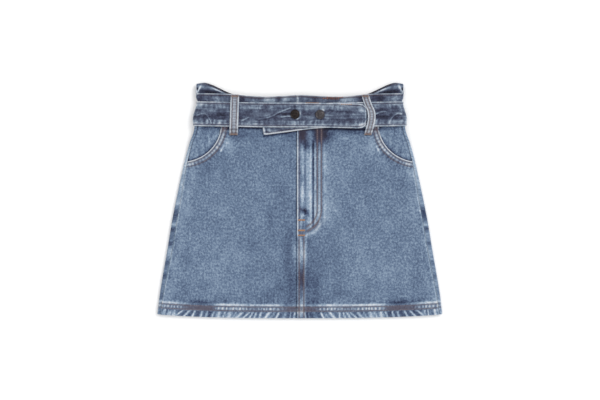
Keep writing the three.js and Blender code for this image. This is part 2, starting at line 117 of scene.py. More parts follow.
# Soft folds pressed into the front: centre, half length, half width, turn in degrees, height.
FRONT_FOLDS = [
    (-96, 118, 95, 26, 74, 0.9),
    (-152, 70, 62, 18, 96, -0.5),
    (-58, 216, 60, 17, 38, 0.7),
    (-30, 60, 58, 15, 88, -0.45),
    (62, 196, 78, 16, 96, 0.8),
    (104, 104, 90, 27, 108, 0.9),
    (30, 48, 50, 14, 82, -0.5),
    (158, 84, 66, 19, 82, -0.5),
    (108, 226, 46, 15, 140, 0.6),
]


def mix(a, b, share):
    """a + (b - a) * share."""
    return a + (b - a) * share


def ramp(value, start, end):
    """Smoothstep, 3t^2 - 2t^3: 0 up to start, 1 from end on."""
    t = np.clip((value - start) / (end - start), 0, 1)
    return t * t * (3 - 2 * t)


def bell(distance, width):
    """exp(-(distance / width)^2)."""
    return np.exp(-((distance / width) ** 2))


def curve(at, xs, ys):
    """Smooth line through a table: cubic pieces whose slopes come from the rows on each side."""
    xs = np.asarray(xs, float)
    ys = np.asarray(ys, float)
    before = np.maximum(np.arange(len(xs)) - 1, 0)
    after = np.minimum(np.arange(len(xs)) + 1, len(xs) - 1)
    slopes = (ys[after] - ys[before]) / (xs[after] - xs[before])
    at = np.clip(at, xs[0], xs[-1])
    i = np.clip(np.searchsorted(xs, at, side="right") - 1, 0, len(xs) - 2)
    span = xs[i + 1] - xs[i]
    t = (at - xs[i]) / span
    bent = t * (1 - t) ** 2 * slopes[i] - t * t * (1 - t) * slopes[i + 1]
    return mix(ys[i], ys[i + 1], ramp(t, 0, 1)) + span * bent


def uneven(u, v, seed):
    """Smooth noise from -1 to 1: a seeded net of random values one unit apart, joined by smoothsteps."""
    net = np.random.default_rng(seed).uniform(-1, 1, (97, 97))
    u, v = np.broadcast_arrays(np.asarray(u, float), np.asarray(v, float))
    i = np.floor(u).astype(int)
    j = np.floor(v).astype(int)
    s = ramp(u - i, 0, 1)
    lower = mix(net[j % 97, i % 97], net[j % 97, (i + 1) % 97], s)
    upper = mix(net[(j + 1) % 97, i % 97], net[(j + 1) % 97, (i + 1) % 97], s)
    return mix(lower, upper, ramp(v - j, 0, 1))


def patches(x, y, table):
    """Sum of soft spots, each height * exp(-1.5 * (lengthwise^2 + crosswise^2)) in its own turned axes."""
    total = np.zeros(np.broadcast(x, y).shape)
    for centre_x, centre_y, long, wide, turn, height in table:
        cos, sin = np.cos(np.radians(turn)), np.sin(np.radians(turn))
        lengthwise = ((x - centre_x) * cos + (y - centre_y) * sin) / long
        crosswise = ((y - centre_y) * cos - (x - centre_x) * sin) / wide
        total += height * np.exp(-1.5 * (lengthwise**2 + crosswise**2))
    return total


def half_width(y):
    """Half of the flat skirt's width at a height, from the outline table."""
    return curve(y, OUTLINE["y"], OUTLINE["half"])


def seam_x(y):
    """Where the side seam lies on the front: the half width less the table's inset."""
    return half_width(y) - curve(y, OUTLINE["y"], OUTLINE["seam"])


def hem_y(x):
    """The hem's edge rises with the cube of the distance from the centre."""
    return HEM_RISE * np.abs(x / OUTLINE["half"][0]) ** 3


def in_hem(x, y):
    """1 inside the turned-up hem, fading to 0 just above its upper row of stitches."""
    return 1 - ramp(y - hem_y(x), HEM_HEIGHT - 1, HEM_HEIGHT + 1.4)


def front_top(x, y):
    """Level of the front's face: a plateau, higher at the sides, the hem and the waist, plus folds."""
    side = ramp(np.abs(x), half_width(y) - 78, half_width(y) - 14)
    lift = ramp(y, *LIFT)
    body = mix(MIDDLE_TOP, SIDE_TOP, side) + HEM_RAISE * in_hem(x, y)
    folds = (1 - side) * (1 - lift) * (1 - in_hem(x, y)) * patches(x, y, FRONT_FOLDS)
    return mix(body, WAIST_TOP, lift) + folds


def hem_cloth(x, y):
    """Thickness of a panel: one layer, and more inside the hem."""
    return CLOTH + HEM_EXTRA * in_hem(x, y)


# How worn the hem is along x, and its roping: ridges pulled up below the rows of stitches, each with
# its distance from the centre, half width, lean towards the centre as it rises, and how worn it is.
HEM_WEAR = {
    "x": [0, 14, 30, 44, 60, 80, 95, 128, 141, 172, 183, 192, 228],
    "bright": [0.5, 0.2, 0.7, 1.5, 1.0, 0.8, 1.4, 1.4, 0.15, 0.2, 0.45, 0.9, 1.0],
}
HEM_ROPING = [
    (8.4, 1.2, 0.2, 0.7),
    (14.6, 1.1, 0.2, 0.6),
    (24.0, 3.0, 0.4, 0.4),
    (35.4, 1.9, 0.5, 0.95),
    (43.0, 1.6, 0.9, 0.5),
    (51.6, 2.7, 0.7, 1.0),
    (63.4, 1.9, 0.25, 0.95),
    (70.8, 1.5, 0.35, 1.0),
    (77.6, 1.7, 0.6, 0.95),
    (85.0, 1.5, 1.1, 1.0),
    (96.0, 3.0, 0.9, 0.8),
    (104.5, 1.3, 0.5, 0.6),
    (113.0, 3.4, 0.3, 0.72),
    (121.0, 1.6, 0.5, 0.7),
    (130.0, 3.4, 0.2, 0.84),
    (138.4, 1.7, 0.35, 0.9),
    (149.0, 1.5, 0.25, 1.0),
    (157.0, 1.8, 0.3, 0.9),
    (169.6, 1.8, 0.5, 1.0),
    (180.0, 2.1, 0.9, 0.95),
    (192.0, 2.3, 1.2, 0.95),
]
COMBED_FROM = 194


def hem_strokes(x, height):
    """Roping: the table's bells across x, leaning with the height, and a fine comb at the far ends."""
    total = 0
    for at, reach, lean, worn in HEM_ROPING:
        slide = np.abs(x + 0.8 * uneven(x / 9, 0.5, 11)) - at + lean * (height - 5)
        total = np.maximum(total, worn * bell(slide, reach * (1.15 - 0.03 * height)))
    comb = 0.35 + 0.55 * uneven((np.abs(x) + 0.15 * height) / 1.7, height / 14 + (x > 0), 12)
    return mix(total, comb, ramp(np.abs(x), COMBED_FROM, COMBED_FROM + 6))


def hem_pleats(x):
    """Small marks that the two rows of stitches pull up between them, a cosine of x, unevenly spaced."""
    wave = 0.5 + 0.5 * np.cos(2 * np.pi * (x / 5.6 + 0.6 * uneven(x / 13, 3.5, 14)))
    return wave**1.4 * (0.7 + 0.3 * uneven(x / 5.6, 5.5, 17))


def hem_relief(x, y):
    """Height added in the hem: the roping below the rows, the pleats between them, a groove at each row."""
    height = y - hem_y(x)
    low, high = HEM_ROWS
    below = ramp(height, 0.6, 3) * (1 - ramp(height, low - 3, low))
    between = ramp(height, low, low + 1.5) * (1 - ramp(height, high - 1.5, high))
    dents = bell(height - low, 0.9) + bell(height - high, 0.9)
    return 0.5 * below * (hem_strokes(x, height) - 0.5) + 0.2 * between * (hem_pleats(x) - 0.5) - 0.22 * dents


def hem_wash(x, y):
    """Wash added in and just above the hem: worn roping, marks between the rows, a worn line above them."""
    height = y - hem_y(x)
    low, high = HEM_ROWS
    bright = curve(np.abs(x), HEM_WEAR["x"], HEM_WEAR["bright"])
    below = 1 - ramp(height, low - 2.6, low - 1.0)
    between = ramp(height, low + 0.8, low + 2) * (1 - ramp(height, high - 2, high - 0.8))
    ragged = 0.8 + 0.3 * uneven(x / 4, 4.5, 15)
    worn_line = bell(height - high - 2.6, 1.9) * (0.1 + 0.4 * bright) * ragged
    combed = ramp(height, high + 3, high + 5) * (1 - ramp(height, high + 6, high + 24))
    shade = -0.3 * bell(np.abs(x) - 160, 22) * bell(height - high - 5, 3.6)
    rows = -0.05 * (bell(height - low, 1.3) + bell(height - high, 1.3))
    edge = 0.06 * bell(height - 0.4, 1.1)
    return (
        below * (0.62 * hem_strokes(x, height) - 0.22 + 0.08 * bright)
        + between * (0.6 * hem_pleats(x) * bright - 0.04 - 0.1 * (1 - bright))
        + worn_line
        + combed * (0.09 * uneven(x / 2.2, height / 26, 16) - 0.02)
        + shade
        + rows
        + edge
    )


def hem_stain(x, y):
    """Brownish grey that the thread leaves: along both rows, and between them where the hem isn't worn."""
    height = y - hem_y(x)
    low, high = HEM_ROWS
    bright = curve(np.abs(x), HEM_WEAR["x"], HEM_WEAR["bright"])
    between = ramp(height, low, low + 1.5) * (1 - ramp(height, high - 1.5, high))
    rows = bell(height - low, 1.5) + bell(height - high, 1.5)
    unworn = between * np.clip(1 - bright, 0, 1)
    return 0.44 * rows * (0.85 + 0.3 * uneven(x / 6, 6.5, 18)) + 0.55 * unworn + 0.12 * between


def edged(values):
    """Adds grid lines close to both ends, where an edge rounds off."""
    close = np.array([0.07, 0.22, 0.48, 0.85]) * np.sign(values[-1] - values[0])
    inner = values[(np.abs(values - values[0]) > 1.2) & (np.abs(values - values[-1]) > 1.2)]
    return np.concatenate([values[:1], values[0] + close, inner, (values[-1] - close)[::-1], values[-1:]])


def rim_distance(u, v):
    """Distance of each grid point to the grid's rim, along its own row or column, whichever is shorter."""
    gaps = [np.hypot(u - u[:, [k]], v - v[:, [k]]) for k in (0, -1)]
    gaps += [np.hypot(u - u[[k]], v - v[[k]]) for k in (0, -1)]
    return np.minimum.reduce(gaps)


def rounded_half(thickness, distance):
    """Half thickness near a rim: a quarter circle that closes to nothing at the rim itself."""
    reach = np.clip(distance / (thickness / 2), 0, 1)
    return thickness / 2 * np.sqrt(1 - (1 - reach) ** 2)


def make_piece(name, points, faces, material):
    """A smooth-shaded object at the origin, from points in millimetres and faces that close it."""
    turn = np.cross(points[faces[:, 0]], points[faces[:, 1]])
    volume = np.sum(turn * points[faces[:, 2]])
    turn = np.cross(points[faces[:, 0]], points[faces[:, 2]])
    volume += np.sum(turn * points[faces[:, 3]])
    if volume < 0:
        faces = faces[:, ::-1]
    mesh = bpy.data.meshes.new(name)
    mesh.from_pydata(((points + [0, HEM_LOWEST, 0]) * MM).tolist(), [], faces.tolist())
    mesh.polygons.foreach_set("use_smooth", np.ones(len(faces), bool))
    mesh.materials.append(material)
    mesh.update()
    piece = bpy.data.objects.new(name, mesh)
    bpy.context.collection.objects.link(piece)
    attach(piece, "root")
    return piece


def add_field(piece, name, values):
    """Stores one number for each vertex, for a material to read."""
    field = piece.data.attributes.new(name, "FLOAT", "POINT")
    field.data.foreach_set("value", np.asarray(values, np.float32))


def make_cloth(name, outer, inner, thread_lines, wash_and_painted_light, stain, material, inside_wash_and_shade=0.64):
    """A closed cloth wall from two grids of points that meet at their rims.

    thread_lines is the grid of places on the flat cloth, wash and stain are grids for the outer face; the
    wash also holds painted shade and highlights in places, and the inside's wash holds painted shade on the
    inside of the band's peak.
    """
    rows, columns = outer.shape[:2]
    face = np.arange(rows * columns).reshape(rows, columns)
    reverse = face + rows * columns
    reverse[[0, -1]] = face[[0, -1]]
    reverse[:, [0, -1]] = face[:, [0, -1]]
    quads = []
    for number in (face, reverse[:, ::-1]):
        corners = [number[:-1, :-1], number[:-1, 1:], number[1:, 1:], number[1:, :-1]]
        quads.append(np.stack(corners, axis=-1).reshape(-1, 4))
    used, quads = np.unique(np.concatenate(quads), return_inverse=True)
    quads = quads.reshape(-1, 4)
    points = np.concatenate([outer.reshape(-1, 3), inner.reshape(-1, 3)])[used]
    piece = make_piece(name, points, quads, material)
    inside = np.broadcast_to(inside_wash_and_shade, (rows, columns)).ravel()
    add_field(piece, "wash_and_painted_light", np.concatenate([wash_and_painted_light.ravel(), inside])[used])
    add_field(piece, "stain", np.concatenate([stain.ravel(), 0 * inside])[used])
    flat = np.concatenate([thread_lines.reshape(-1, 2)] * 2)[used] * MM
    corner_vertex = np.empty(len(piece.data.loops), np.int32)
    piece.data.loops.foreach_get("vertex_index", corner_vertex)
    layer = piece.data.uv_layers.new(name="cloth")
    layer.data.foreach_set("uv", flat[corner_vertex].astype(np.float32).ravel())
    return piece


def colour(red, green, blue):
    """A colour as the eye reads it, 0 to 255, as the shader's linear values."""
    values = (np.array([red, green, blue]) / 255 + 0.055) / 1.055
    return (*(values**2.4 / 1.13), 1)


def make_denim(name, tones, stain_colour, mottle):
    """Washed denim: a ramp of tones read at the wash field, which also holds painted shade and highlights,
    plus slub, mottle and cloud noise.

    A fine diagonal wave lightens and darkens it as twill does, and lifts the surface with the slub.
    The stain field mixes a second colour in.
    """
    material = bpy.data.materials.new(name)
    material.use_nodes = True
    tree = material.node_tree
    shader = tree.nodes["Principled BSDF"]
    shader.inputs["Roughness"].default_value = 0.93
    shader.inputs["Specular IOR Level"].default_value = 0.15
    shader.inputs["Sheen Weight"].default_value = 0.12

    def add(kind, **settings):
        node = tree.nodes.new(kind)
        for key, value in settings.items():
            setattr(node, key, value)
        return node

    def math(operation, first, second):
        node = add("ShaderNodeMath", operation=operation)
        for socket, value in zip(node.inputs, (first, second)):
            if isinstance(value, (int, float)):
                socket.default_value = value
            else:
                tree.links.new(value, socket)
        return node.outputs[0]

    place = add("ShaderNodeUVMap", uv_map="cloth").outputs["UV"]

    def noise(scale, detail):
        stretch = add("ShaderNodeMapping")
        stretch.inputs["Scale"].default_value = scale
        tree.links.new(place, stretch.inputs["Vector"])
        node = add("ShaderNodeTexNoise")
        node.inputs["Scale"].default_value = 1
        node.inputs["Detail"].default_value = detail
        tree.links.new(stretch.outputs["Vector"], node.inputs["Vector"])
        return math("SUBTRACT", node.outputs["Fac"], 0.5)

    slub = noise((560, 470, 1), 2)
    grain = noise((300, 270, 1), 2)
    cloud = noise((24, 17, 1), 2)
    twill = add("ShaderNodeTexWave", bands_direction="DIAGONAL")
    twill.inputs["Scale"].default_value = 590
    twill.inputs["Distortion"].default_value = 1.2
    twill.inputs["Detail"].default_value = 1
    tree.links.new(place, twill.inputs["Vector"])
    wash_and_painted_light = add("ShaderNodeAttribute", attribute_name="wash_and_painted_light").outputs["Fac"]
    level = math("ADD", wash_and_painted_light, math("MULTIPLY", slub, 0.36 * mottle))
    level = math("ADD", level, math("MULTIPLY", grain, 0.56 * mottle))
    level = math("ADD", level, math("MULTIPLY", cloud, 0.2))
    level = math("ADD", level, math("MULTIPLY", math("SUBTRACT", twill.outputs["Fac"], 0.5), 0.1))
    tone_ramp = add("ShaderNodeValToRGB")
    stops = tone_ramp.color_ramp.elements
    while len(stops) < len(tones):
        stops.new(0.5)
    for k, tone in enumerate(tones):
        stops[k].position = k / (len(tones) - 1)
        stops[k].color = colour(*tone)
    tree.links.new(level, tone_ramp.inputs["Fac"])
    stained = add("ShaderNodeMix", data_type="RGBA", blend_type="MIX")
    stain = add("ShaderNodeAttribute", attribute_name="stain").outputs["Fac"]
    tree.links.new(stain, stained.inputs["Factor"])
    tree.links.new(tone_ramp.outputs["Color"], stained.inputs["A"])
    stained.inputs["B"].default_value = colour(*stain_colour)
    tree.links.new(stained.outputs["Result"], shader.inputs["Base Color"])
    lift = add("ShaderNodeBump")
    lift.inputs["Strength"].default_value = 0.42
    lift.inputs["Distance"].default_value = 0.0004
    relief = math("ADD", twill.outputs["Fac"], math("MULTIPLY", slub, 1.6))
    tree.links.new(relief, lift.inputs["Height"])
    tree.links.new(lift.outputs["Normal"], shader.inputs["Normal"])
    return material


PANEL_TONES = [(31, 36, 58), (62, 75, 104), (105, 125, 152), (156, 175, 196), (216, 222, 229)]
panel_denim = make_denim("washed_denim", PANEL_TONES, (96, 84, 92), 1.1)

# Places along the side folds painted darker or paler: height, half length, wash.
SIDE_MARKS = [
    (244, 46, 0.26),
    (186, 10, 0.12),
    (167, 12, -0.34),
    (149.6, 1.8, 0.32),
    (143, 4, -0.22),
    (120, 4, -0.18),
    (104, 9, 0.1),
    (88, 4, -0.1),
    (66, 5, -0.16),
]
BACK_SEAM_ROWS = (-2.2, -8.6)
FELLED_WIDTH = 10.8
# Creases in the back from lying on it, as pale and dark places in its wash only: centre, half length, half
# width, turn in degrees, wash.
BACK_WEAR = [
    (110, 150, 90, 28, 80, 0.07),
    (60, 60, 60, 20, 95, -0.06),
    (150, 240, 60, 20, 100, 0.06),
    (40, 250, 50, 18, 20, 0.06),
    (176, 60, 50, 10, 98, 0.08),
]


def back_half(side):
    """One half of the back. Columns run over the flat part, round the fold and back to the side seam."""
    height = WAIST_SEAM - SEAM_GAP / 2
    heights = np.concatenate([np.arange(0, 21, 1.05), np.arange(21.5, height - 1.5, 2.3), [height]])
    share = edged(heights)[:, None] / height
    flat = edged(np.concatenate([np.arange(0, 30, 1.2), np.arange(30, 223, 2.4), [224]])) / 224
    flat = flat[flat < 1]
    turn = np.radians(np.linspace(-90, 90, 15))
    back_run = np.array([0.35, 0.7, 0.88, 0.96, 1])
    sweep = np.concatenate([flat, np.ones(len(turn) + len(back_run))])[None, :]
    turn = np.concatenate([np.full(len(flat), -np.pi / 2), turn, np.full(len(back_run), np.pi / 2)])[None, :]
    returned = np.concatenate([np.zeros(sweep.size - len(back_run)), back_run])[None, :]
    bottom = hem_y(OUTLINE["half"][0] * sweep)
    y = bottom + share * (height - bottom)
    half = half_width(y)
    low = WAIST_BACK * ramp(y, *LIFT)
    high = front_top(half, y)
    radius = (high - low) / 2
    fold = half - radius
    across = SEAM_GAP / 2 + sweep * (fold - SEAM_GAP / 2)
    across = mix(across, seam_x(y) + SEAM_GAP / 2, returned)
    from_waist = WAIST_SEAM - y
    cloth = hem_cloth(across, y)
    length = across + radius * (turn + np.pi / 2) + 2 * returned * (fold - across)
    middle = radius - cloth / 2
    half_cloth = rounded_half(cloth, rim_distance(length, y))
    on_flat = (sweep < 1) * ramp(share, 0, 0.01)
    relief = hem_relief(side * length - 40, y) * (turn > -1.5)
    strip = 1 - ramp(across, FELLED_WIDTH, FELLED_WIDTH + 1.5)

    def at(reach):
        shape = np.broadcast(sweep, y).shape
        points = np.empty((*shape, 3))
        points[..., 0] = side * (across + reach * np.cos(turn))
        points[..., 1] = y
        points[..., 2] = low + radius + reach * np.sin(turn)
        return points

    seam_rows = bell(across + BACK_SEAM_ROWS[0], 0.8) + bell(across + BACK_SEAM_ROWS[1], 0.8)
    wash_and_painted_light = 0.5 + hem_wash(side * length + 0.01, y)
    wash_and_painted_light += 0.03 * uneven(side * length / 45, y / 60, 21) + 0.02 * uneven(length / 13, y / 21, 22)
    wash_and_painted_light += patches(across, y, BACK_WEAR)
    wash_and_painted_light += on_flat * (0.2 * bell(across - FELLED_WIDTH, 0.9) - 0.12 * seam_rows + 0.06 * strip)
    side_run = np.clip(returned + ramp(turn, -0.3, 0.6), 0, 1)
    patchy = uneven(y / 15, 3.3 + side, 23)
    # Darker and paler places along the side folds, from the table of side marks.
    worn = sum(height * bell(y - at, reach) for at, reach, height in SIDE_MARKS)
    wash_and_painted_light += side_run * (0.1 * patchy + worn) + 0.3 * bell(1 - returned, 0.12) * (0.6 + 0.4 * patchy)
    wash_and_painted_light += 0.1 * bell(from_waist, 3)
    thread_lines = np.stack(np.broadcast_arrays(side * length + 700, y), axis=-1)
    outer = at(middle + half_cloth + relief)
    inner = at(middle - half_cloth)
    stain = hem_stain(side * length, y)
    name = "back_panel_" + ("left" if side < 0 else "right")
    return make_cloth(name, outer, inner, thread_lines, wash_and_painted_light, stain, panel_denim)


for side, node in ((-1, "back_left"), (1, "back_right")):
    panel = back_half(side)
    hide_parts(node)

# The pocket facings: a piece of the same denim shows inside each pocket mouth. It is sewn into the
# side seam and the waist, and runs on under the front panel.
MOUTH = {"x": 190, "y": WAIST_SEAM, "across": 64.6, "down": 61.2, "raise": 0.5, "hem": 10}
MOUTH_ROWS = (2.7, 8.8)
FACING = {"across": 81, "down": 76, "lowest": 240, "level": 4, "rise": 12}
# Pale and dark places on both facings: distance from the centre, height, half length, half width, turn, wash.
FACING_WEAR = [
    (165, 259, 10, 8, 0, 0.1),
    (160, 292, 8, 14, 0, -0.1),
    (139, 285.6, 13, 3, 138, 0.16),
    (130, 293, 10, 5, 75, 0.25),
]


def below_mouth(x, y):
    """Distance from the pocket mouth's oval edge, in the panel; below zero in the open pocket."""
    round_off = np.hypot((MOUTH["x"] - np.abs(x)) / MOUTH["across"], (MOUTH["y"] - y) / MOUTH["down"])
    return (round_off - 1) * (MOUTH["across"] + MOUTH["down"]) / 2


def pocket_facing(side):
    """Rows run up from the hidden lower edge to the waist, columns from the side seam to the hidden edge."""
    up = edged(np.arange(FACING["lowest"], WAIST_SEAM, 1.5))
    up[-1] = WAIST_SEAM - SEAM_GAP / 2
    y = up[:, None]
    fallen = (MOUTH["y"] - y) / FACING["down"]
    hidden = MOUTH["x"] - FACING["across"] * np.sqrt(np.clip(1 - fallen**2, 0, 1))
    outer_x = seam_x(y) - SEAM_GAP / 2
    share = [0, 0.004, 0.012, 0.025, *np.linspace(0.045, 0.97, 34), 0.985, 0.994, 0.998, 1]
    x = mix(outer_x, hidden, np.array(share)[None, :])
    y = y + 0 * x
    opened = ramp((-below_mouth(x, y) - FACING["level"]) / FACING["rise"], 0, 1)
    face = front_top(x, y) - (1 - opened) * (CLOTH + SEAM_GAP)
    half_cloth = rounded_half(CLOTH, rim_distance(x, y))
    middle = face - CLOTH / 2 + 0.12 * uneven(x / 9, y / 14, 31)
    outer = np.stack([side * x, y, np.minimum(middle + half_cloth, face + 0.1)], axis=-1)
    inner = np.stack([side * x, y, middle - half_cloth], axis=-1)
    wash_and_painted_light = 0.47 + 0.1 * uneven(x / 5, y / 26, 32) + 0.05 * uneven(x / 14, y / 20, 33)
    wash_and_painted_light += 0.1 * bell(outer_x - x - 3.5, 2.0) - 0.1 * bell(outer_x - x, 2.0) + patches(x, y, FACING_WEAR)
    # Painted shade: darker just inside the pocket mouth, under the front panel's edge, and just below the
    # belt's lower edge.
    wash_and_painted_light -= (0.3 - 0.22 * ramp(y, 268, 284)) * bell(-below_mouth(x, y), 2.8)
    wash_and_painted_light -= 0.14 * bell(WAIST_SEAM - 6 - y, 4)
    thread_lines = np.stack([side * x + 1400, y], axis=-1)
    name = "facing_" + ("left" if side < 0 else "right")
    return make_cloth(name, outer, inner, thread_lines, wash_and_painted_light, 0 * wash_and_painted_light, panel_denim)


for side, node in ((-1, "pocket_facing_left"), (1, "pocket_facing_right")):
    facing = pocket_facing(side)
    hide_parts(node)

# The front panels: washed denim, worn pale along the fly, the pocket mouths, the seams and the hem.
# The right one is folded at the centre and laps over the left one. Its fly is stitched down in a J,
# and below that the centre seam is felled. Each pocket mouth's edge is turned and stitched twice.
LAP_EDGE = -4.4
LAP_UNDER = 9
LAP_DIP_FROM = -10
SEAM_STRIP = 8.6
SEAM_RAISE = 0.8
FLY = {"right": 38.5, "foot": 174, "drop": 41, "raise": 0.9, "edge": 2.5}
FLY_ROWS = (4.0, 10.6)
SEAM_ROWS = (-1.2, 6.5)
# Lengthwise ridges and grooves in the fly: middle, half width, height, wash.
FLY_BANDS = [
    (4.0, 2.8, 0.3, 0.3),
    (8.3, 1.1, -0.2, -0.1),
    (12.6, 3.0, 0.4, 0.16),
    (17.4, 2.2, 0.35, 0.32),
    (21.2, 1.3, -0.6, -0.46),
    (24.4, 1.2, 0.2, 0.3),
    (31.4, 1.3, 0.2, 0.24),
    (39.8, 2.0, 0.0, 0.2),
    (44.0, 3.0, 0.0, 0.06),
]
# The same in the felled seam below the fly; the darker band beyond the strip's right edge is painted shade.
SEAM_BANDS = [
    (-3.1, 0.8, 0.0, 0.16),
    (2.8, 2.2, 0.2, 0.03),
    (8.2, 1.0, 0.0, 0.16),
    (12.4, 3.0, -0.1, -0.1),
]
# Places that the wash left darker or paler: centre, half length, half width, turn in degrees, wash.
FRONT_WEAR = [
    (46, 172, 20, 8, 92, 0.1),
    (58, 171, 14, 1.6, 122, 0.16),
    (23, 54, 50, 13, 91, -0.13),
    (-16, 78, 70, 12, 91, -0.15),
    (-44, 146, 50, 20, 86, -0.1),
    (-50, 93, 18, 14, 60, 0.05),
    (-40, 38, 26, 18, 20, -0.11),
    (-162, 166, 22, 14, 90, 0.05),
    (-154, 112, 14, 10, 0, 0.05),
    (-118, 188, 16, 12, 0, -0.06),
    (-82, 198, 20, 12, 90, -0.05),
    (42, 122, 24, 14, 80, -0.06),
    (98, 190, 40, 12, 95, 0.05),
    (119, 78, 26, 12, 90, 0.06),
    (145, 48, 30, 12, 0, -0.06),
    (154, 188, 24, 14, 0, -0.06),
    (158, 80, 20, 12, 0, 0.06),
    (175, 240, 20, 8, 100, 0.1),
    (-175, 240, 20, 8, 80, 0.1),
    (-30, 301, 40, 5, 2, -0.1),
    (-14, 293, 14, 8, 0, -0.15),
    (46, 292, 12, 10, 160, -0.2),
    (10, 278, 22, 8, 0, -0.14),
    (88, 297, 30, 5, 0, -0.16),
    (-96, 293, 32, 10, 0, -0.16),
    (67, 288, 16, 8, 0, 0.1),
    (58, 250, 40, 16, 100, 0.06),
    (-62, 252, 40, 20, 80, 0.05),
    (-98, 150, 50, 18, 90, 0.05),
    (-150, 100, 50, 30, 80, 0.04),
    (-108, 54, 44, 18, 10, 0.08),
    (104, 110, 60, 22, 100, 0.04),
    (152, 245, 44, 18, 110, -0.06),
    (166, 140, 50, 18, 100, 0.05),
    (186, 80, 50, 10, 98, -0.03),
    (-186, 46, 40, 12, 82, -0.05),
    (-148, 250, 36, 14, 80, -0.04),
    (0, 8, 9, 8, 0, 0.5),
    (-23, 22, 8, 5, 0, -0.15),
    (115, 282, 11, 7, 100, 0.12),
    (-116, 282, 11, 7, 80, 0.22),
    (141, 259, 8, 6, 0, -0.12),
    (188, 170, 14, 8, 100, -0.08),
    (22, 26, 8, 6, 0, -0.12),
    (110, 270, 12, 10, 100, 0.12),
    (-110, 272, 14, 12, 80, 0.12),
    (125, 269.6, 8, 1.6, 117, 0.5),
    (-125, 269.6, 8, 1.6, 63, 0.5),
    (-34, 52, 12, 8, 90, -0.12),
    (64, 40, 14, 8, 0, -0.1),
    (-150, 52, 14, 10, 0, -0.08),
    (-140, 76, 36, 16, 0, 0.06),
    (38, 225, 10, 8, 0, -0.05),
    (40, 195, 8, 3, 90, -0.2),
    (-7, 260, 14, 3, 90, 0.14),
    (5, 100, 14, 10, 90, 0.1),
    (6, 200, 14, 8, 90, 0.1),
    (28, 170, 26, 6, 90, 0.2),
    (10, 250, 14, 6, 90, 0.1),
    (2, 230, 8, 5, 90, -0.12),
    (9, 160, 8, 6, 0, -0.12),
    (-8, 192, 12, 4, 90, 0.1),
    (4, 104, 22, 10, 90, 0.26),
    (-9, 108, 22, 5, 90, 0.16),
    (3, 60, 22, 6, 90, -0.3),
    (3, 22, 12, 6, 90, 0.16),
    (4.5, 222, 8, 3, 80, -0.22),
    (4, 196, 16, 3, 88, 0.1),
    (15, 222, 40, 4, 90, 0.08),
    (20, 190, 16, 5, 92, 0.12),
    (6.0, 172, 8, 5, -20, -0.52),
    (12.2, 167, 6, 4, -60, -0.4),
    (5, 150, 6, 1.3, 90, -0.5),
    (1.2, 152, 9, 1.1, 90, 0.2),
    (8.4, 153, 8, 1.2, 90, 0.16),
    (4.5, 163.4, 4.4, 1.6, 0, 0.25),
    (10, 148, 8, 3, 90, -0.16),
    (15, 124, 8, 2.2, 92, -0.14),
    (5.5, 124, 8, 1.6, 90, -0.14),
    (10.5, 122, 14, 1.6, 90, 0.16),
    (0.5, 122, 10, 1.8, 90, 0.34),
    (14, 158, 14, 2.4, 102, 0.1),
    (26, 138, 12, 3, 34, 0.16),
    (-6.0, 176, 22, 1.4, 90, -0.16),
]
# Where dark dye is left, unwashed, at the top of the fly, darkened further there by painted shade below the
# belt, and where brownish dye is left: the same columns.
FRONT_STAIN = [
    (5.5, 294, 17, 9, 90, 0.4),
    (32, 294, 19, 13, 90, 0.4),
    (3, 62, 22, 6, 90, 0.3),
    (4, 175, 8, 4, 0, 0.2),
    (3, 136, 6, 5, 0, 0.3),
    (24, 146, 18, 6, 40, 0.45),
]
# Painted shade below the belt, with dark dye left unwashed there.
FRONT_SHADE = [
    (4.5, 294, 18, 8, 90, -0.6),
    (32, 295, 20, 14, 90, -0.6),
    (12, 274, 8, 8, 0, -0.24),
    (18.0, 290, 9, 2.4, 90, 0.2),
]


def inside_fly(x, y):
    """Distance inside the fly's J-shaped edge: straight above its foot, an oval's below it."""
    oval = FLY["right"] * (1 - np.hypot(x / FLY["right"], np.maximum(FLY["foot"] - y, 0) / FLY["drop"]))
    return np.where(y >= FLY["foot"], FLY["right"] - x, oval)


def mouth_pleats(x, y):
    """Pleats that the stitches pull up round a pocket mouth, a cosine of the way round it."""
    way = np.arctan2(MOUTH["y"] - y, MOUTH["x"] - np.abs(x)) * 66
    return np.cos(2 * np.pi * (way / 5.6 + 0.45 * uneven(way / 9, 1.5 + np.sign(x), 41)))


def mouth_relief(x, y):
    """The turned edge of a pocket mouth stands proud, with a groove at each row of stitches."""
    inside = below_mouth(x, y)
    near = 1 - ramp(inside, MOUTH["hem"], MOUTH["hem"] + 1.2)
    dents = bell(inside - MOUTH_ROWS[0], 0.7) + bell(inside - MOUTH_ROWS[1], 0.7)
    pleats = mouth_pleats(x, y) * ramp(inside, 1, 3) * (1 - ramp(inside, 12, 20))
    return MOUTH["raise"] * near - 0.2 * dents + 0.09 * pleats


def bands(x, table, column):
    """Sum of lengthwise bands: a table's height or wash times a bell of the distance from its middle."""
    return sum(row[column] * bell(x - row[0], row[1]) for row in table)


def right_relief(x, y):
    """Height on the right panel: the higher of the felled seam and the fly, with their bands."""
    strip = SEAM_RAISE * (1 - ramp(x, SEAM_STRIP, SEAM_STRIP + 2))
    inside = inside_fly(x, y)
    fly = FLY["raise"] * ramp(inside, 0, FLY["edge"])
    in_fly = ramp(y, 146, 162) * (1 - ramp(y, 284, 298)) * ramp(inside, -6, 0)
    in_seam = 1 - ramp(y, 128, 136)
    fly_dents = bell(inside - FLY_ROWS[0], 0.7) + bell(inside - FLY_ROWS[1], 0.7)
    dents = ramp(inside, 0.2, 1) * fly_dents * ramp(x, 9, 12)
    dents += in_seam * (bell(x - SEAM_ROWS[0], 0.7) + bell(x - SEAM_ROWS[1], 0.7))
    raised = np.maximum(strip, fly) + in_fly * bands(x, FLY_BANDS, 2)
    return raised + in_seam * bands(x, SEAM_BANDS, 2) - 0.2 * dents


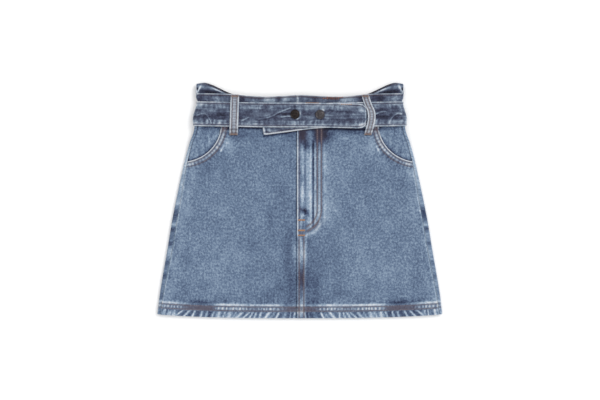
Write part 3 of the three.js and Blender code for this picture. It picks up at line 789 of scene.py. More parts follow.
def front_wash(x, y):
    """Wash of the front: base, clouds, hem, side strips, pocket mouths, fly, felled seam and worn places."""
    inside = below_mouth(x, y)
    from_side = half_width(y) - np.abs(x)
    from_seam = seam_x(y) - np.abs(x)
    low_part = 1 - ramp(y, 228, 250)
    wash_and_painted_light = 0.495 + 0.02 * uneven(x / 42, y / 58, 42) + 0.04 * uneven(x / 12, y / 19, 43)
    wash_and_painted_light += 0.03 * uneven(x / 5, y / 6.5, 40) + hem_wash(x, y) + patches(x, y, FRONT_WEAR)
    wash_and_painted_light += low_part * (0.06 * bell(from_side - 18, 8) + 0.22 * bell(from_seam - 1.0, 1.3))
    wash_and_painted_light += low_part * 0.09 * uneven(y / 9, 2.5 + np.sign(x), 44) * bell(from_side - 10, 6)
    low_end = ramp(np.abs(x), 134, 162)
    wash_and_painted_light += mix(0.62, 0.75, low_end) * bell(inside - 0.5, 1.35)
    wash_and_painted_light += (mix(0.46, 0.14, low_end) + 0.25 * ramp(np.abs(x), 164, 174)) * bell(inside - 5.6, 1.8)
    wash_and_painted_light -= 0.1 * (bell(inside - MOUTH_ROWS[0], 0.8) + bell(inside - MOUTH_ROWS[1], 0.8))
    near_mouth = ramp(inside, 2, 5) * (1 - ramp(inside, 8, 20))
    wash_and_painted_light += near_mouth * (0.16 * mouth_pleats(x, y) - 0.03)
    return wash_and_painted_light


def row_stain(distances, reach):
    """Brownish grey that the thread leaves on both sides of its rows."""
    return sum(reach * bell(distance, 1.4) for distance in distances)


def front_stain(x, y):
    """Stain along the hem and the pocket mouths."""
    inside = below_mouth(x, y)
    rows = row_stain([inside - row for row in MOUTH_ROWS], 0.6) + 0.25 * bell(inside - 5.6, 2)
    corner = 0.8 * bell(np.abs(x) - 122, 3.4) * bell(y - 302, 5)
    return hem_stain(x, y) + rows * (0.85 + 0.3 * uneven(x / 5, y / 5, 49)) + corner


def right_wash_and_shade(x, y):
    """Wash of the fly and the felled seam, with the pale folded edge at the centre, and painted shade below
    the belt and beside the felled strip.
    """
    inside = inside_fly(x, y)
    in_fly = ramp(y, 140, 156) * (1 - ramp(y, 274, 288))
    fly_near = ramp(inside, -12, -5)
    in_seam = 1 - ramp(y, 124, 132)
    round_foot = ramp(y, 120, 140) * (1 - ramp(y, 172, 184)) * ramp(x, 6, 11)
    wobble = 0.95 + 0.35 * uneven(x / 3, y / 13, 45)
    wash_and_painted_light = in_fly * fly_near * bands(x, FLY_BANDS, 3) * wobble + in_seam * bands(x, SEAM_BANDS, 3)
    round_foot = round_foot * (1 - 0.75 * ramp(y, 144, 162))
    wash_and_painted_light += 0.3 * bell(inside + 1.6, 2.2) * round_foot + 0.1 * bell(inside - 7.3, 1.5) * round_foot
    wash_and_painted_light += in_seam * (0.12 * uneven(x / 2, y / 12, 50) - 0.04) * ramp(x, -3, -1) * (1 - ramp(x, 8, 10))
    wash_and_painted_light += ramp(y, 126, 134) * (0.56 * bell(x - LAP_EDGE - 0.6, 1.6) - 0.1 * bell(x - LAP_EDGE - 3.6, 1.0))
    return wash_and_painted_light + patches(x, y, FRONT_SHADE)


def right_stain(x, y):
    """Stain along the fly's rows and the felled seam's, by the folded edge and in the unwashed places."""
    inside = inside_fly(x, y)
    rows = row_stain([inside - row for row in FLY_ROWS], 0.7) * ramp(x, 9, 12)
    seam = row_stain([x - row for row in SEAM_ROWS], 0.6) * (1 - ramp(y, 124, 132))
    edge = 0.5 * bell(x - LAP_EDGE - 3.2, 1.1) * ramp(y, 134, 140)
    dye = patches(x, y, FRONT_STAIN) * (0.8 + 0.3 * uneven(x / 4, y / 7, 47)) * ramp(x, -1.6, -0.4)
    return rows + seam + edge + dye * (1 - 0.75 * bell(x - 19.5, 3.4))


BELT_FOOT = {
    "x": [-168, -105, -60, -59, -20, 0, 50, 105],
    "y": [306.6, 305.6, 304.6, 291.6, 297.4, 302.6, 303.6, 302.4],
}


def under_belt(x, y):
    """1 just below the belt's lower edge, where the cloth lies in its shade, fading out 3 mm lower."""
    return bell(np.interp(x, BELT_FOOT["x"], BELT_FOOT["y"]) - 1.2 - y, 2.0)


def panel_grid(centre):
    """Plan of a front panel. Columns rise from the hem to the waist seam or the pocket mouth's edge.

    A point is the straight mix of its column's foot and head; near the side it bows out with the seam.
    """
    start = FLY["right"] + 1.5
    corner = MOUTH["x"] - MOUTH["across"]
    hem_corner = 168
    hem_side = seam_x(HEM_RISE)
    inner_top = np.linspace(start, corner, 60)[1:]
    inner_hem = np.linspace(start, hem_corner, 60)[1:]
    mouth_level = MOUTH["y"] - MOUTH["down"]
    last = np.arccos((MOUTH["x"] - seam_x(mouth_level)) / MOUTH["across"])
    side_hem = edged(np.linspace(hem_corner, hem_side, 56))[5:]
    angle = np.interp(side_hem, np.linspace(hem_corner, hem_side, 56), np.linspace(0, last, 56))
    hem = np.concatenate([centre, inner_hem, side_hem])[None, :]
    head_x = np.concatenate([centre, inner_top, MOUTH["x"] - MOUTH["across"] * np.cos(angle)])[None, :]
    head_y = np.full(hem.size, float(WAIST_SEAM))
    head_y[-angle.size :] = MOUTH["y"] - MOUTH["down"] * np.sin(angle)
    head_y = head_y[None, :] - SEAM_GAP / 2
    hem_rows = np.arange(0, 21, 0.95)
    waist_rows = np.arange(297.5, 311, 1.1)
    up = edged(np.concatenate([hem_rows, np.linspace(21.5, 296, 150), waist_rows]))
    fine = up[:, None]
    bottom = hem_y(hem)
    long = head_y - bottom
    low_part = np.minimum(fine, 21)
    high_part = np.minimum(up[-1] - fine, 14.5)
    middle = (fine - low_part - (14.5 - high_part)) / (up[-1] - 21 - 14.5)
    rise = low_part + (14.5 - high_part) + middle * (long - 21 - 14.5)
    y = bottom + rise
    straight_seam = mix(seam_x(HEM_RISE), seam_x(mouth_level), y / mouth_level)
    reach = (hem / hem_side) ** 4 * (1 - ramp(y, 225, 250))
    x = mix(hem, head_x, rise / long) + reach * (seam_x(y) - straight_seam)
    return np.where(hem > 200, np.minimum(x, seam_x(y) - SEAM_GAP / 2), x), y


def front_right():
    """The right panel, from its folded edge to the side seam."""
    x, y = panel_grid(edged(np.arange(LAP_EDGE, FLY["right"] + 2.5, 0.95))[:-4])
    face = front_top(x, y) + right_relief(x, y) + mouth_relief(x, y) + hem_relief(x, y)
    face += 0.08 * uneven(x / 7, y / 11, 46)
    under = front_top(x, y) - hem_cloth(x, y)
    half_cloth = rounded_half(face - under, rim_distance(x, y))
    middle = (face + under) / 2
    outer = np.stack([x, y, middle + half_cloth], axis=-1)
    inner = np.stack([x, y, middle - half_cloth], axis=-1)
    # Painted shade: darker just below the belt's lower edge.
    wash_and_painted_light = front_wash(x, y) + right_wash_and_shade(x, y) - 0.5 * under_belt(x, y)
    stain = np.clip(front_stain(x, y) + right_stain(x, y), 0, 0.9)
    return make_cloth("front_panel_right", outer, inner, np.stack([x, y], axis=-1), wash_and_painted_light, stain, panel_denim)


def front_left():
    """The left panel. At the centre it dips and runs on under the right one's folded edge."""
    centre = np.concatenate([np.arange(-LAP_UNDER, 15, 0.95), np.arange(16, FLY["right"] + 2.5, 1.4)])
    x, y = panel_grid(edged(centre)[:-4])
    x = -x
    lapped = ramp(x, LAP_DIP_FROM, LAP_EDGE - SEAM_GAP)
    face = front_top(x, y) + mouth_relief(x, y) + hem_relief(x, y) + 0.08 * uneven(x / 7, y / 11, 48)
    hidden = front_top(x, y) - hem_cloth(x, y) - SEAM_GAP
    face = mix(face, hidden, lapped)
    under = mix(front_top(x, y) - hem_cloth(x, y), hidden - CLOTH, lapped)
    half_cloth = rounded_half(face - under, rim_distance(x, y))
    middle = (face + under) / 2
    outer = np.stack([x, y, middle + half_cloth], axis=-1)
    inner = np.stack([x, y, middle - half_cloth], axis=-1)
    # Painted shade: a dark line beside the right panel's folded edge, and darker just below the belt's lower
    # edge.
    wash_and_painted_light = front_wash(x, y) - 0.14 * bell(x - LAP_EDGE + 0.4, 1.2) - 0.4 * under_belt(x, y)
    stain = np.clip(front_stain(x, y), 0, 0.9)
    return make_cloth("front_panel_left", outer, inner, np.stack([x, y], axis=-1), wash_and_painted_light, stain, panel_denim)


front_panels = {}
for side, make, node in ((-1, front_left, "front_left"), (1, front_right, "front_right")):
    panel = make()
    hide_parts(node)
    front_panels[side] = panel

# The stitching of the panels: rust-brown thread along the hem, the fly, the felled seam and the pocket
# mouths, and bright bar tacks at the fly. Each stitch is a short arched thread, 3 mm from the next.
STITCH_PITCH = 3.0
STITCH_COVER = 0.8
THREAD_RADIUS = 0.42
RING_STEPS = np.array([0.0, 0.14, 0.5, 0.86, 1.0])
RING_HEIGHTS = np.array([-0.9, 0.25, 0.7, 0.25, -0.9])
RING_WIDTHS = np.array([0.35, 0.95, 1.1, 0.95, 0.35])
THREAD_SIDES = 6


def make_thread(name, tone, other_tone):
    """Sewing thread: each stitch has its own mix of two tones, with the twist of its plies across it."""
    material = bpy.data.materials.new(name)
    material.use_nodes = True
    tree = material.node_tree
    shader = tree.nodes["Principled BSDF"]
    shader.inputs["Roughness"].default_value = 0.7
    shader.inputs["Sheen Weight"].default_value = 0.1
    wear = tree.nodes.new("ShaderNodeAttribute")
    wear.attribute_name = "wear"
    blend = tree.nodes.new("ShaderNodeMix")
    blend.data_type = "RGBA"
    blend.inputs["A"].default_value = colour(*tone)
    blend.inputs["B"].default_value = colour(*other_tone)
    tree.links.new(wear.outputs["Fac"], blend.inputs["Factor"])
    tree.links.new(blend.outputs["Result"], shader.inputs["Base Color"])
    place = tree.nodes.new("ShaderNodeTexCoord")
    twist = tree.nodes.new("ShaderNodeTexWave")
    twist.bands_direction = "DIAGONAL"
    twist.inputs["Scale"].default_value = 900
    lift = tree.nodes.new("ShaderNodeBump")
    lift.inputs["Strength"].default_value = 0.5
    lift.inputs["Distance"].default_value = 0.0002
    tree.links.new(place.outputs["Object"], twist.inputs["Vector"])
    tree.links.new(twist.outputs["Fac"], lift.inputs["Height"])
    tree.links.new(lift.outputs["Normal"], shader.inputs["Normal"])
    return material


def stitches(path, up, pitch=STITCH_PITCH):
    """Starts, ends and upward directions of stitches laid end to end along a path of points."""
    run = np.concatenate([[0], np.cumsum(np.linalg.norm(np.diff(path, axis=0), axis=1))])
    first = np.arange(0.15 * pitch, run[-1] - pitch, pitch)
    up = np.broadcast_to(np.asarray(up, float), path.shape)

    def at(distance, values):
        return np.stack([np.interp(distance, run, values[:, k]) for k in range(3)], axis=-1)

    return at(first, path), at(first + STITCH_COVER * pitch, path), at(first, up)


def bar_tack(centre, width, height, up, across=(1, 0, 0), along=(0, 1, 0)):
    """A dense row of short threads side by side, over a bar of that width and height."""
    count = max(4, int(width / 0.62))
    shift = np.linspace(-width / 2, width / 2, count)[:, None] * np.asarray(across, float)
    half = np.asarray(along, float) * height / 2
    slant = np.asarray(across, float) * 0.25
    base = np.asarray(centre, float) + shift
    return base - half - slant, base + half + slant, np.broadcast_to(np.asarray(up, float), base.shape)


def sew(name, rows, thread, seed, radius=THREAD_RADIUS):
    """One mesh of all the stitches: six-sided tubes whose ends dive into the cloth."""
    starts, ends, ups = (np.concatenate(parts) for parts in zip(*rows))
    along = ends - starts
    length = np.linalg.norm(along, axis=1, keepdims=True)
    sideways = np.cross(along / length, ups)
    sideways /= np.linalg.norm(sideways, axis=1, keepdims=True)
    ups = np.cross(sideways, along / length)
    turn = np.linspace(0, 2 * np.pi, THREAD_SIDES, endpoint=False)
    middle = starts[:, None] + RING_STEPS[None, :, None] * along[:, None]
    middle = middle + RING_HEIGHTS[None, :, None] * radius * ups[:, None]
    ring = np.cos(turn)[None, :, None] * sideways[:, None] + np.sin(turn)[None, :, None] * ups[:, None]
    points = middle[:, :, None] + RING_WIDTHS[None, :, None, None] * radius * ring[:, None]
    count, rings = points.shape[:2]
    number = np.arange(count * rings * THREAD_SIDES).reshape(count, rings, THREAD_SIDES)
    after = np.roll(number, -1, axis=2)
    quads = [number[:, :-1], after[:, :-1], after[:, 1:], number[:, 1:]]
    quads = np.stack(quads, axis=-1).reshape(-1, 4)
    half = THREAD_SIDES // 2
    for end in (number[:, 0, ::-1], number[:, -1]):
        quads = np.concatenate([quads, end[:, (0, 1, 2, half)], end[:, (0, half, half + 1, half + 2)]])
    piece = make_piece(name, points.reshape(-1, 3), quads, thread)
    wear = np.random.default_rng(seed).uniform(0, 1, count)
    add_field(piece, "wear", np.repeat(wear, rings * THREAD_SIDES))
    return piece


def front_face(x, y):
    """Level of the front's outer face, with everything that stands proud on either panel."""
    base = front_top(x, y) + mouth_relief(x, y) + hem_relief(x, y)
    return np.where(x >= LAP_EDGE, base + right_relief(x, y), base)


def on_front(x, y):
    """A path on the front's face."""
    x, y = np.broadcast_arrays(np.asarray(x, float), np.asarray(y, float))
    return np.stack([x, y, front_face(x, y)], axis=-1)


UP = (0, 0, 1)
DOWN = (0, 0, -1)
rust_thread = make_thread("rust_thread", (100, 86, 94), (140, 124, 126))
grey_thread = make_thread("grey_thread", (90, 84, 96), (132, 122, 126))
brown_thread = make_thread("brown_thread", (124, 104, 100), (152, 130, 122))
orange_thread = make_thread("orange_thread", (188, 142, 106), (156, 118, 98))

hem_lines = []
for height in HEM_ROWS:
    x = np.linspace(1 - seam_x(0), seam_x(0) - 1, 400)
    x = x * (1 - 0.004 * height / 10)
    hem_lines.append(stitches(on_front(x, hem_y(x) + height), UP))
hem_stitches = sew("hem_stitches", hem_lines, rust_thread, 51)

seam_lines = []
for across in SEAM_ROWS:
    y = np.linspace(2, 133, 90)
    seam_lines.append(stitches(on_front(across, y), UP))
seam_stitches = sew("seam_stitches", seam_lines, rust_thread, 52)

fly_lines = []
for inside in FLY_ROWS:
    angle = np.linspace(0, np.radians(74), 40)
    curve_x = (FLY["right"] - inside) * np.cos(angle)
    curve_y = FLY["foot"] - (FLY["drop"] - inside) * np.sin(angle)
    x = np.concatenate([np.full(90, FLY["right"] - inside), curve_x])
    y = np.concatenate([np.linspace(WAIST_SEAM - 1, FLY["foot"] + 0.5, 90), curve_y])
    fly_lines.append(stitches(on_front(x, y), UP))
fly_stitches = sew("fly_stitches", fly_lines, rust_thread, 53)

mouth_lines = []
for side in (-1, 1):
    for inside in MOUTH_ROWS:
        angle = np.linspace(0.05, np.radians(80), 80)
        x = side * (MOUTH["x"] - (MOUTH["across"] + inside) * np.cos(angle))
        y = MOUTH["y"] - (MOUTH["down"] + inside) * np.sin(angle)
        kept = np.abs(x) < seam_x(y) - 1
        mouth_lines.append(stitches(on_front(x[kept], y[kept]), UP))
mouth_stitches = sew("pocket_stitches", mouth_lines, grey_thread, 54)

tacks = []
for y, height in ((156.8, 2.6), (140.2, 3.0), (132.4, 2.6)):
    centre = (2.6, y, float(front_face(2.6, y)) + 0.1)
    tacks.append(bar_tack(centre, 10.6, height, UP))
fly_tacks = sew("fly_tacks", tacks, orange_thread, 55, radius=0.4)


def on_back(x, y):
    """A path on the back's outer face, which the skirt lies on."""
    x, y = np.broadcast_arrays(np.asarray(x, float), np.asarray(y, float))
    return np.stack([x, y, WAIST_BACK * ramp(y, *LIFT) + 0.38], axis=-1)


back_lines = []
for across in BACK_SEAM_ROWS:
    back_lines.append(stitches(on_back(-across, np.linspace(2, WAIST_SEAM - 10, 160)), DOWN))
for height in HEM_ROWS:
    x = np.linspace(-218, 218, 300)
    back_lines.append(stitches(on_back(x, hem_y(x) + height), DOWN))
back_stitches = sew("back_stitches", back_lines, rust_thread, 56, radius=0.3)

# The waistband: a strip of darker, less washed denim folded double, sewn on the panels and stitched
# near its top edge. It rolls round the side folds, where the back stands up as a peak behind the front.
BAND_CLOTH = 2.2
BAND = {"axis": 7, "inner": 0.4, "outer": 2.6}
WAIST_HALF = 162.2
# The side fold's axis at each height: the belt draws the waist in, and it flares out below and above.
WAIST_AXIS = {
    "y": [300, 311, 317, 325, 333, 342, 347, 352, 358, 365, 375],
    "x": [164.6, 165.4, 165.8, 164.8, 162.2, 160.2, 160.8, 162.8, 163.2, 163.6, 163.8],
}
BAND_END = LAP_EDGE
BAND_FRONT = {"x": [0, 48, 70, 92, 114, 165], "top": [356.6, 354.0, 354.2, 356.0, 358.2, 359.0]}
BAND_BACK = {"x": [0, 60, 90, 112, 147, 165], "top": [350.6, 351.2, 353.4, 359.8, 375.4, 374.2]}
BAND_ROW = 2.2
BAND_TONES = [(32, 33, 48), (60, 65, 87), (96, 108, 130), (146, 162, 180), (208, 214, 223)]
band_denim = make_denim("dark_denim", BAND_TONES, (84, 66, 72), 0.9)


def waist_x(reach, y):
    """Distance from the centre at a share of the way to the side fold; the flare is in the last of it."""
    flare = curve(y, WAIST_AXIS["y"], WAIST_AXIS["x"]) - WAIST_HALF
    return reach * WAIST_HALF + flare * np.abs(reach) ** 5


def round_waist(side, reach, turn, y, out):
    """A point round the waist: reach is the share of the way to the side fold, turn the angle round it.

    turn is -90 degrees on the back and 90 on the front; out is the distance from the fold's axis.
    """
    x = side * (waist_x(reach, y) + out * np.cos(turn))
    return np.stack(np.broadcast_arrays(x, y, BAND["axis"] + out * np.sin(turn)), axis=-1)


# Pale and dark places on the band's front, and on the inside of the back where it stands up behind it, seen
# from the front; on the inside of the back two dark ones are painted shade: distance from the centre, height,
# half length, half width, turn, wash.
BAND_WEAR = [
    (-92, 350, 9, 9, 0, -0.4),
    (-76, 347, 5, 4, 0, 0.2),
    (-47, 349, 15, 9, 0, 0.38),
    (-34, 349, 5, 6, 0, -0.16),
    (-24, 349, 8, 7, 0, 0.34),
    (-12, 351, 7, 5, 0, 0.2),
    (-3, 351, 8, 1.2, 90, 0.4),
    (-152, 350, 8, 6, 0, 0.06),
    (-122, 354, 12, 4, -4, -0.1),
    (-148, 346, 12, 1.4, -14, -0.3),
    (8, 350, 3, 6, 0, 0.3),
    (18, 350, 4, 6, 0, 0.2),
    (30, 350, 12, 8, 0, -0.12),
    (66, 356, 32, 3, 0, 0.3),
    (78, 350, 15, 9, 0, 0.46),
    (96, 352, 5, 7, 70, -0.2),
    (124, 350, 20, 8, 0, -0.16),
    (152, 347, 8, 4, 0, 0.1),
]
PEAK_WEAR_AND_SHADE = [
    (155, 369.5, 12, 4.2, 10, 0.2),
    (140, 367, 12, 3, 20, 0.1),
    (160, 365.3, 9, 1.6, -62, 0.9),
    # Painted shadow inside the side fold.
    (163.4, 366.2, 2.4, 1.9, 0, -1.1),
    (128, 363, 15, 1.5, 23.5, 0.9),
    # Painted shade: a dark band low on the peak, above the front's top edge.
    (142, 361.4, 22, 3.2, 3, -0.5),
    (116, 361.8, 10, 2.4, 26, -0.4),
]


def waistband(side):
    """Half of the band. Columns run from the centre of the back round the side fold to the fly."""
    axis = WAIST_HALF
    end = (BAND_END if side > 0 else -BAND_END + SEAM_GAP) / axis
    back = edged(np.linspace(SEAM_GAP / 2, axis, 98)) / axis
    front = edged(np.linspace(axis, end * axis, 98))[5:] / axis
    back = back[:-5]
    angle = np.linspace(-90, 90, 19)
    reach = np.concatenate([back, np.ones(len(angle)), front])[None, :]
    turn = np.radians(np.concatenate([np.full(len(back), -90), angle, np.full(len(front), 90)]))[None, :]
    on_front_side = ramp(turn, np.radians(-60), np.radians(80))
    plan_x = reach * axis
    back_top = curve(plan_x, BAND_BACK["x"], BAND_BACK["top"])
    front_edge = curve(plan_x, BAND_FRONT["x"], BAND_FRONT["top"])
    top = mix(back_top, front_edge, on_front_side)
    bottom = WAIST_SEAM + SEAM_GAP / 2
    share = edged(np.linspace(0, 47, 40))[:, None] / 47
    y = bottom + share * (top - bottom)
    length = plan_x * np.where(turn < 0, 1, -1) + (turn + np.pi / 2) * 1.5 + np.where(turn < 0, 0, 2 * axis)
    from_rim = rim_distance(length + 0 * y, y)
    half_cloth = rounded_half(BAND_CLOTH, from_rim)
    from_top = top - y
    relief = -0.22 * bell(from_top - BAND_ROW, 0.7) + 0.1 * uneven(length / 9, y / 6, 61)
    relief = relief * ramp(from_rim, 0.5, 2)
    centre = (BAND["inner"] + BAND["outer"]) / 2
    blotches = 0.17 * uneven(side * length / 11, y / 9, 62) + 0.1 * uneven(side * length / 4.5, y / 12, 63)
    wash_and_painted_light = 0.42 + blotches + (turn > 0) * patches(side * plan_x, y, BAND_WEAR)
    at_side = ramp(plan_x, 88, 104)
    wash_and_painted_light += mix(0.36, 0.5, at_side) * bell(from_top - 0.5, 1.0) - 0.18 * bell(from_top - BAND_ROW - 0.5, 1.0)
    wash_and_painted_light += 0.3 * bell(plan_x - end * axis, 1.1) * (turn > 1.5) + 0.3 * np.cos(turn) ** 2
    stain = mix(0.55, 0.3, at_side) * bell(from_top - BAND_ROW, 1.6)
    # The inside of the back, seen where it stands up: wash with painted shade from the peak's table.
    inside_wash_and_shade = 0.38 + 0.1 * uneven(plan_x / 7, y / 5, 66) + patches(plan_x, y, PEAK_WEAR_AND_SHADE)
    inside_wash_and_shade -= 0.6 * bell(from_top - 1.2, 2.3) * (1 - 0.9 * ramp(plan_x, 138, 152))
    thread_lines = np.stack([y + 2100, side * length + 0 * y], axis=-1)
    outer = round_waist(side, reach, turn, y, centre + half_cloth + relief)
    inner = round_waist(side, reach, turn, y, centre - half_cloth + 0.4 * relief)
    inner[:, -1] = outer[:, -1]
    inner[:, 0] = outer[:, 0]
    name = "waistband_cloth_" + ("left" if side < 0 else "right")
    return make_cloth(name, outer, inner, thread_lines, wash_and_painted_light, stain, band_denim, inside_wash_and_shade)


for side, node in ((-1, "waistband_left"), (1, "waistband_right")):
    band = waistband(side)
    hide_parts(node)

band_lines = []
for side in (-1, 1):
    x = np.linspace(6, 158, 140)
    y = curve(x, BAND_FRONT["x"], BAND_FRONT["top"]) - BAND_ROW
    level = np.full(x.size, BAND["axis"] + BAND["outer"] - 0.1)
    band_lines.append(stitches(np.stack([side * x, y, level], axis=-1), UP))
    y = curve(x, BAND_BACK["x"], BAND_BACK["top"]) - BAND_ROW
    inside = level * 0 + BAND["axis"] - BAND["inner"] - 0.1
    outside = level * 0 + BAND["axis"] - BAND["outer"] + 0.1
    band_lines.append(stitches(np.stack([side * x, y, inside], axis=-1), UP))
    band_lines.append(stitches(np.stack([side * x, y, outside], axis=-1), DOWN))
band_stitches = sew("waistband_stitches", band_lines, grey_thread, 64, radius=0.3)
# Two short rows of newer thread mend its top edge.
MENDED = {"level": [352.6, 350.3], "from": [42, 36], "to": [72, 66]}
mended_thread = make_thread("ochre_thread", (158, 98, 78), (108, 76, 66))
mended_rows = []
for level, start, end in zip(MENDED["level"], MENDED["from"], MENDED["to"]):
    x = np.linspace(start, end, 40)
    row = np.stack([x, level + 0.5 * np.cos(x / 6), 0 * x + BAND["axis"] + BAND["outer"]], axis=-1)
    mended_rows.append(stitches(row, UP))
band_mended = sew("waistband_mended_stitches", mended_rows, mended_thread, 65, radius=0.74)

# The belt: one strip of the dark denim folded double, with worn pale edges and stitched beside them.
# It comes from its rounded tip over the front, round the left side, the back and the right side, and
# under itself to its other end, which slips out below the top layer.
BELT_HALF = 19.75
BELT_OUT = 4.0
BELT_LAYER = BAND_CLOTH + SEAM_GAP
OUTER_TIP = 105.5
INNER_TIP = -60
BELT_OVER = {"x": [-168, -105, -60, 0, 50, 105.5], "middle": [326.4, 325.4, 324.4, 324.2, 323.6, 322.4]}
BELT_UNDER = {"x": [-60, -25, 10, 50, 105, 168], "middle": [311.8, 316.4, 321.0, 324.2, 325.4, 326.4]}
OUTER_CORNERS = {"from": [0, 1.2, 3.6, 7.5, 13], "half": [11.5, 14.6, 17.4, 19.0, 19.75]}
INNER_CORNERS = {"from": [0, 0.9, 2.6], "half": [17.4, 18.9, 19.75]}
BELT_STEP = 1.5
BELT_ROW = 2.7
# Creases across the top layer, as lines of points in x and y.
BELT_CREASES = [
    [(-93.5, 315.2), (-88, 317.4), (-82, 320.2)],
    [(-65.5, 317.6), (-60.3, 318.7), (-50.6, 320.2), (-42, 323.4)]
    + [(-33.5, 328.4), (-21.2, 333.2), (-14, 336)],
    [(-30, 321), (-20, 322.4), (-12, 322.2)],
    [(-150.8, 326.4), (-146.5, 324.8), (-143, 319.5), (-139.2, 311.5)],
    [(-160, 324.5), (-155, 326.6), (-150.8, 326.4)],
]
RIGHT_CREASES = [
    [(141.2, 311), (143.6, 318.4), (149, 324.2), (154.5, 326.8), (160, 326)],
    [(119, 325), (126, 328.6), (136, 330)],
]
# Pale and dark places on the front of the belt, worn ones with painted highlights beside the studs and
# painted shade beside creases: centre, half length, half width, turn, wash.
BELT_WEAR_AND_PAINTED_LIGHT = [
    (-166, 330, 7, 18, 0, 0.34),
    (165, 335, 7, 12, 0, 0.34),
    (-90, 318, 18, 8, 0, -0.12),
    (-140, 322, 18, 8, 0, -0.12),
    (136, 322, 18, 12, 0, -0.14),
    (78, 313, 28, 6, 0, -0.16),
    (44, 324, 18, 4, 90, 0.16),
    (13, 322, 10, 8, 0, 0.12),
    (-118, 336, 6, 8, 0, 0.12),
    (-74, 336, 12, 6, 0, 0.1),
    (-52, 320, 8, 5, 0, 0.14),
    (-24, 304, 12, 4, 8, 0.2),
    (-18, 330, 18, 8, 0, -0.06),
    (18, 344.6, 14, 2.6, 0, 0.36),
    (72, 341.2, 12, 2.4, 0, 0.34),
    (98, 331.5, 7, 5, -30, 0.5),
    (98, 309, 6, 4, 0, 0.5),
    (86, 326, 8, 8, 60, 0.16),
    (68, 334, 10, 4, 0, 0.14),
    # Painted highlights: glints on the belt at the studs' rims, right of the left stud, at its lower right,
    # and at the top right of the right stud.
    (0.8, 326.4, 4.4, 1.2, 90, 0.8),
    (-2.6, 318.6, 4.4, 1.1, 32, 0.7),
    (37.4, 332.4, 3.4, 1.2, -35, 0.75),
    # Painted shade beside the creases, in the next two rows.
    (-22, 326, 14, 3, 8, -0.12),
    (-59, 318.4, 13, 1.8, 3, -0.3),
    (-48, 322, 16, 3, 14, -0.12),
    (60, 330, 24, 3.5, 0, -0.07),
    (-120, 322, 12, 5, 0, -0.1),
    (-126, 313, 5, 4, 40, 0.2),
    (-118, 318, 4, 3, 0, 0.1),
    (120, 313, 8, 4, 60, 0.14),
    (128, 321, 12, 4, 10, -0.1),
    (152, 320, 8, 5, 0, -0.08),
]


def line_distance(x, y, points):
    """Distance of every point to a line of straight pieces, the least over the pieces."""
    best = np.full(np.broadcast(x, y).shape, 1e9)
    for (ax, ay), (bx, by) in zip(points[:-1], points[1:]):
        dx, dy = bx - ax, by - ay
        t = np.clip(((x - ax) * dx + (y - ay) * dy) / (dx * dx + dy * dy), 0, 1)
        best = np.minimum(best, np.hypot(x - ax - t * dx, y - ay - t * dy))
    return best


def belt_stations():
    """Columns of the belt from tip to tip: distance from the centre, turn, layer, middle line, half width."""
    axis = WAIST_HALF
    top_x = np.arange(OUTER_TIP, -axis, -BELT_STEP)
    top_x = np.concatenate([OUTER_TIP - np.array([0, 0.06, 0.2, 0.45, 0.85]), top_x[1:]])
    left_turn = np.radians(np.linspace(90, -90, 17))
    back_x = np.arange(-axis + 1, axis - 0.5, BELT_STEP + 0.4)
    right_turn = -left_turn
    under_x = np.arange(axis - 1, INNER_TIP + 1, -BELT_STEP)
    under_x = np.concatenate([under_x, INNER_TIP + np.array([0.85, 0.45, 0.2, 0.06, 0])])
    x = np.concatenate([top_x, -axis + 0 * left_turn, back_x, axis + 0 * right_turn, under_x])
    quarter = np.pi / 2
    turns = [0 * top_x + quarter, left_turn, 0 * back_x - quarter, right_turn, 0 * under_x + quarter]
    turn = np.concatenate(turns)
    step = np.hypot(np.diff(x), BELT_OUT * np.diff(turn))
    length = np.concatenate([[0], np.cumsum(step)])
    on_top = np.arange(x.size) < top_x.size
    under = np.arange(x.size) >= x.size - under_x.size
    layer = on_top * (1 - ramp(-x, 64, 82))
    middle = np.where(on_top, curve(x, BELT_OVER["x"], BELT_OVER["middle"]), BELT_OVER["middle"][0])
    middle = np.where(under, curve(x, BELT_UNDER["x"], BELT_UNDER["middle"]), middle)
    outer_half = curve(length, OUTER_CORNERS["from"], OUTER_CORNERS["half"])
    inner_half = curve(length[-1] - length, INNER_CORNERS["from"], INNER_CORNERS["half"])
    half = np.minimum(outer_half, inner_half)
    lean = np.arctan(np.gradient(middle, length)) * np.where(turn > 1.5, -1, 0)
    lean[-1] = lean[-2] = lean[-8]
    return (value[None, :] for value in (x, turn, length, layer, middle, half, lean))


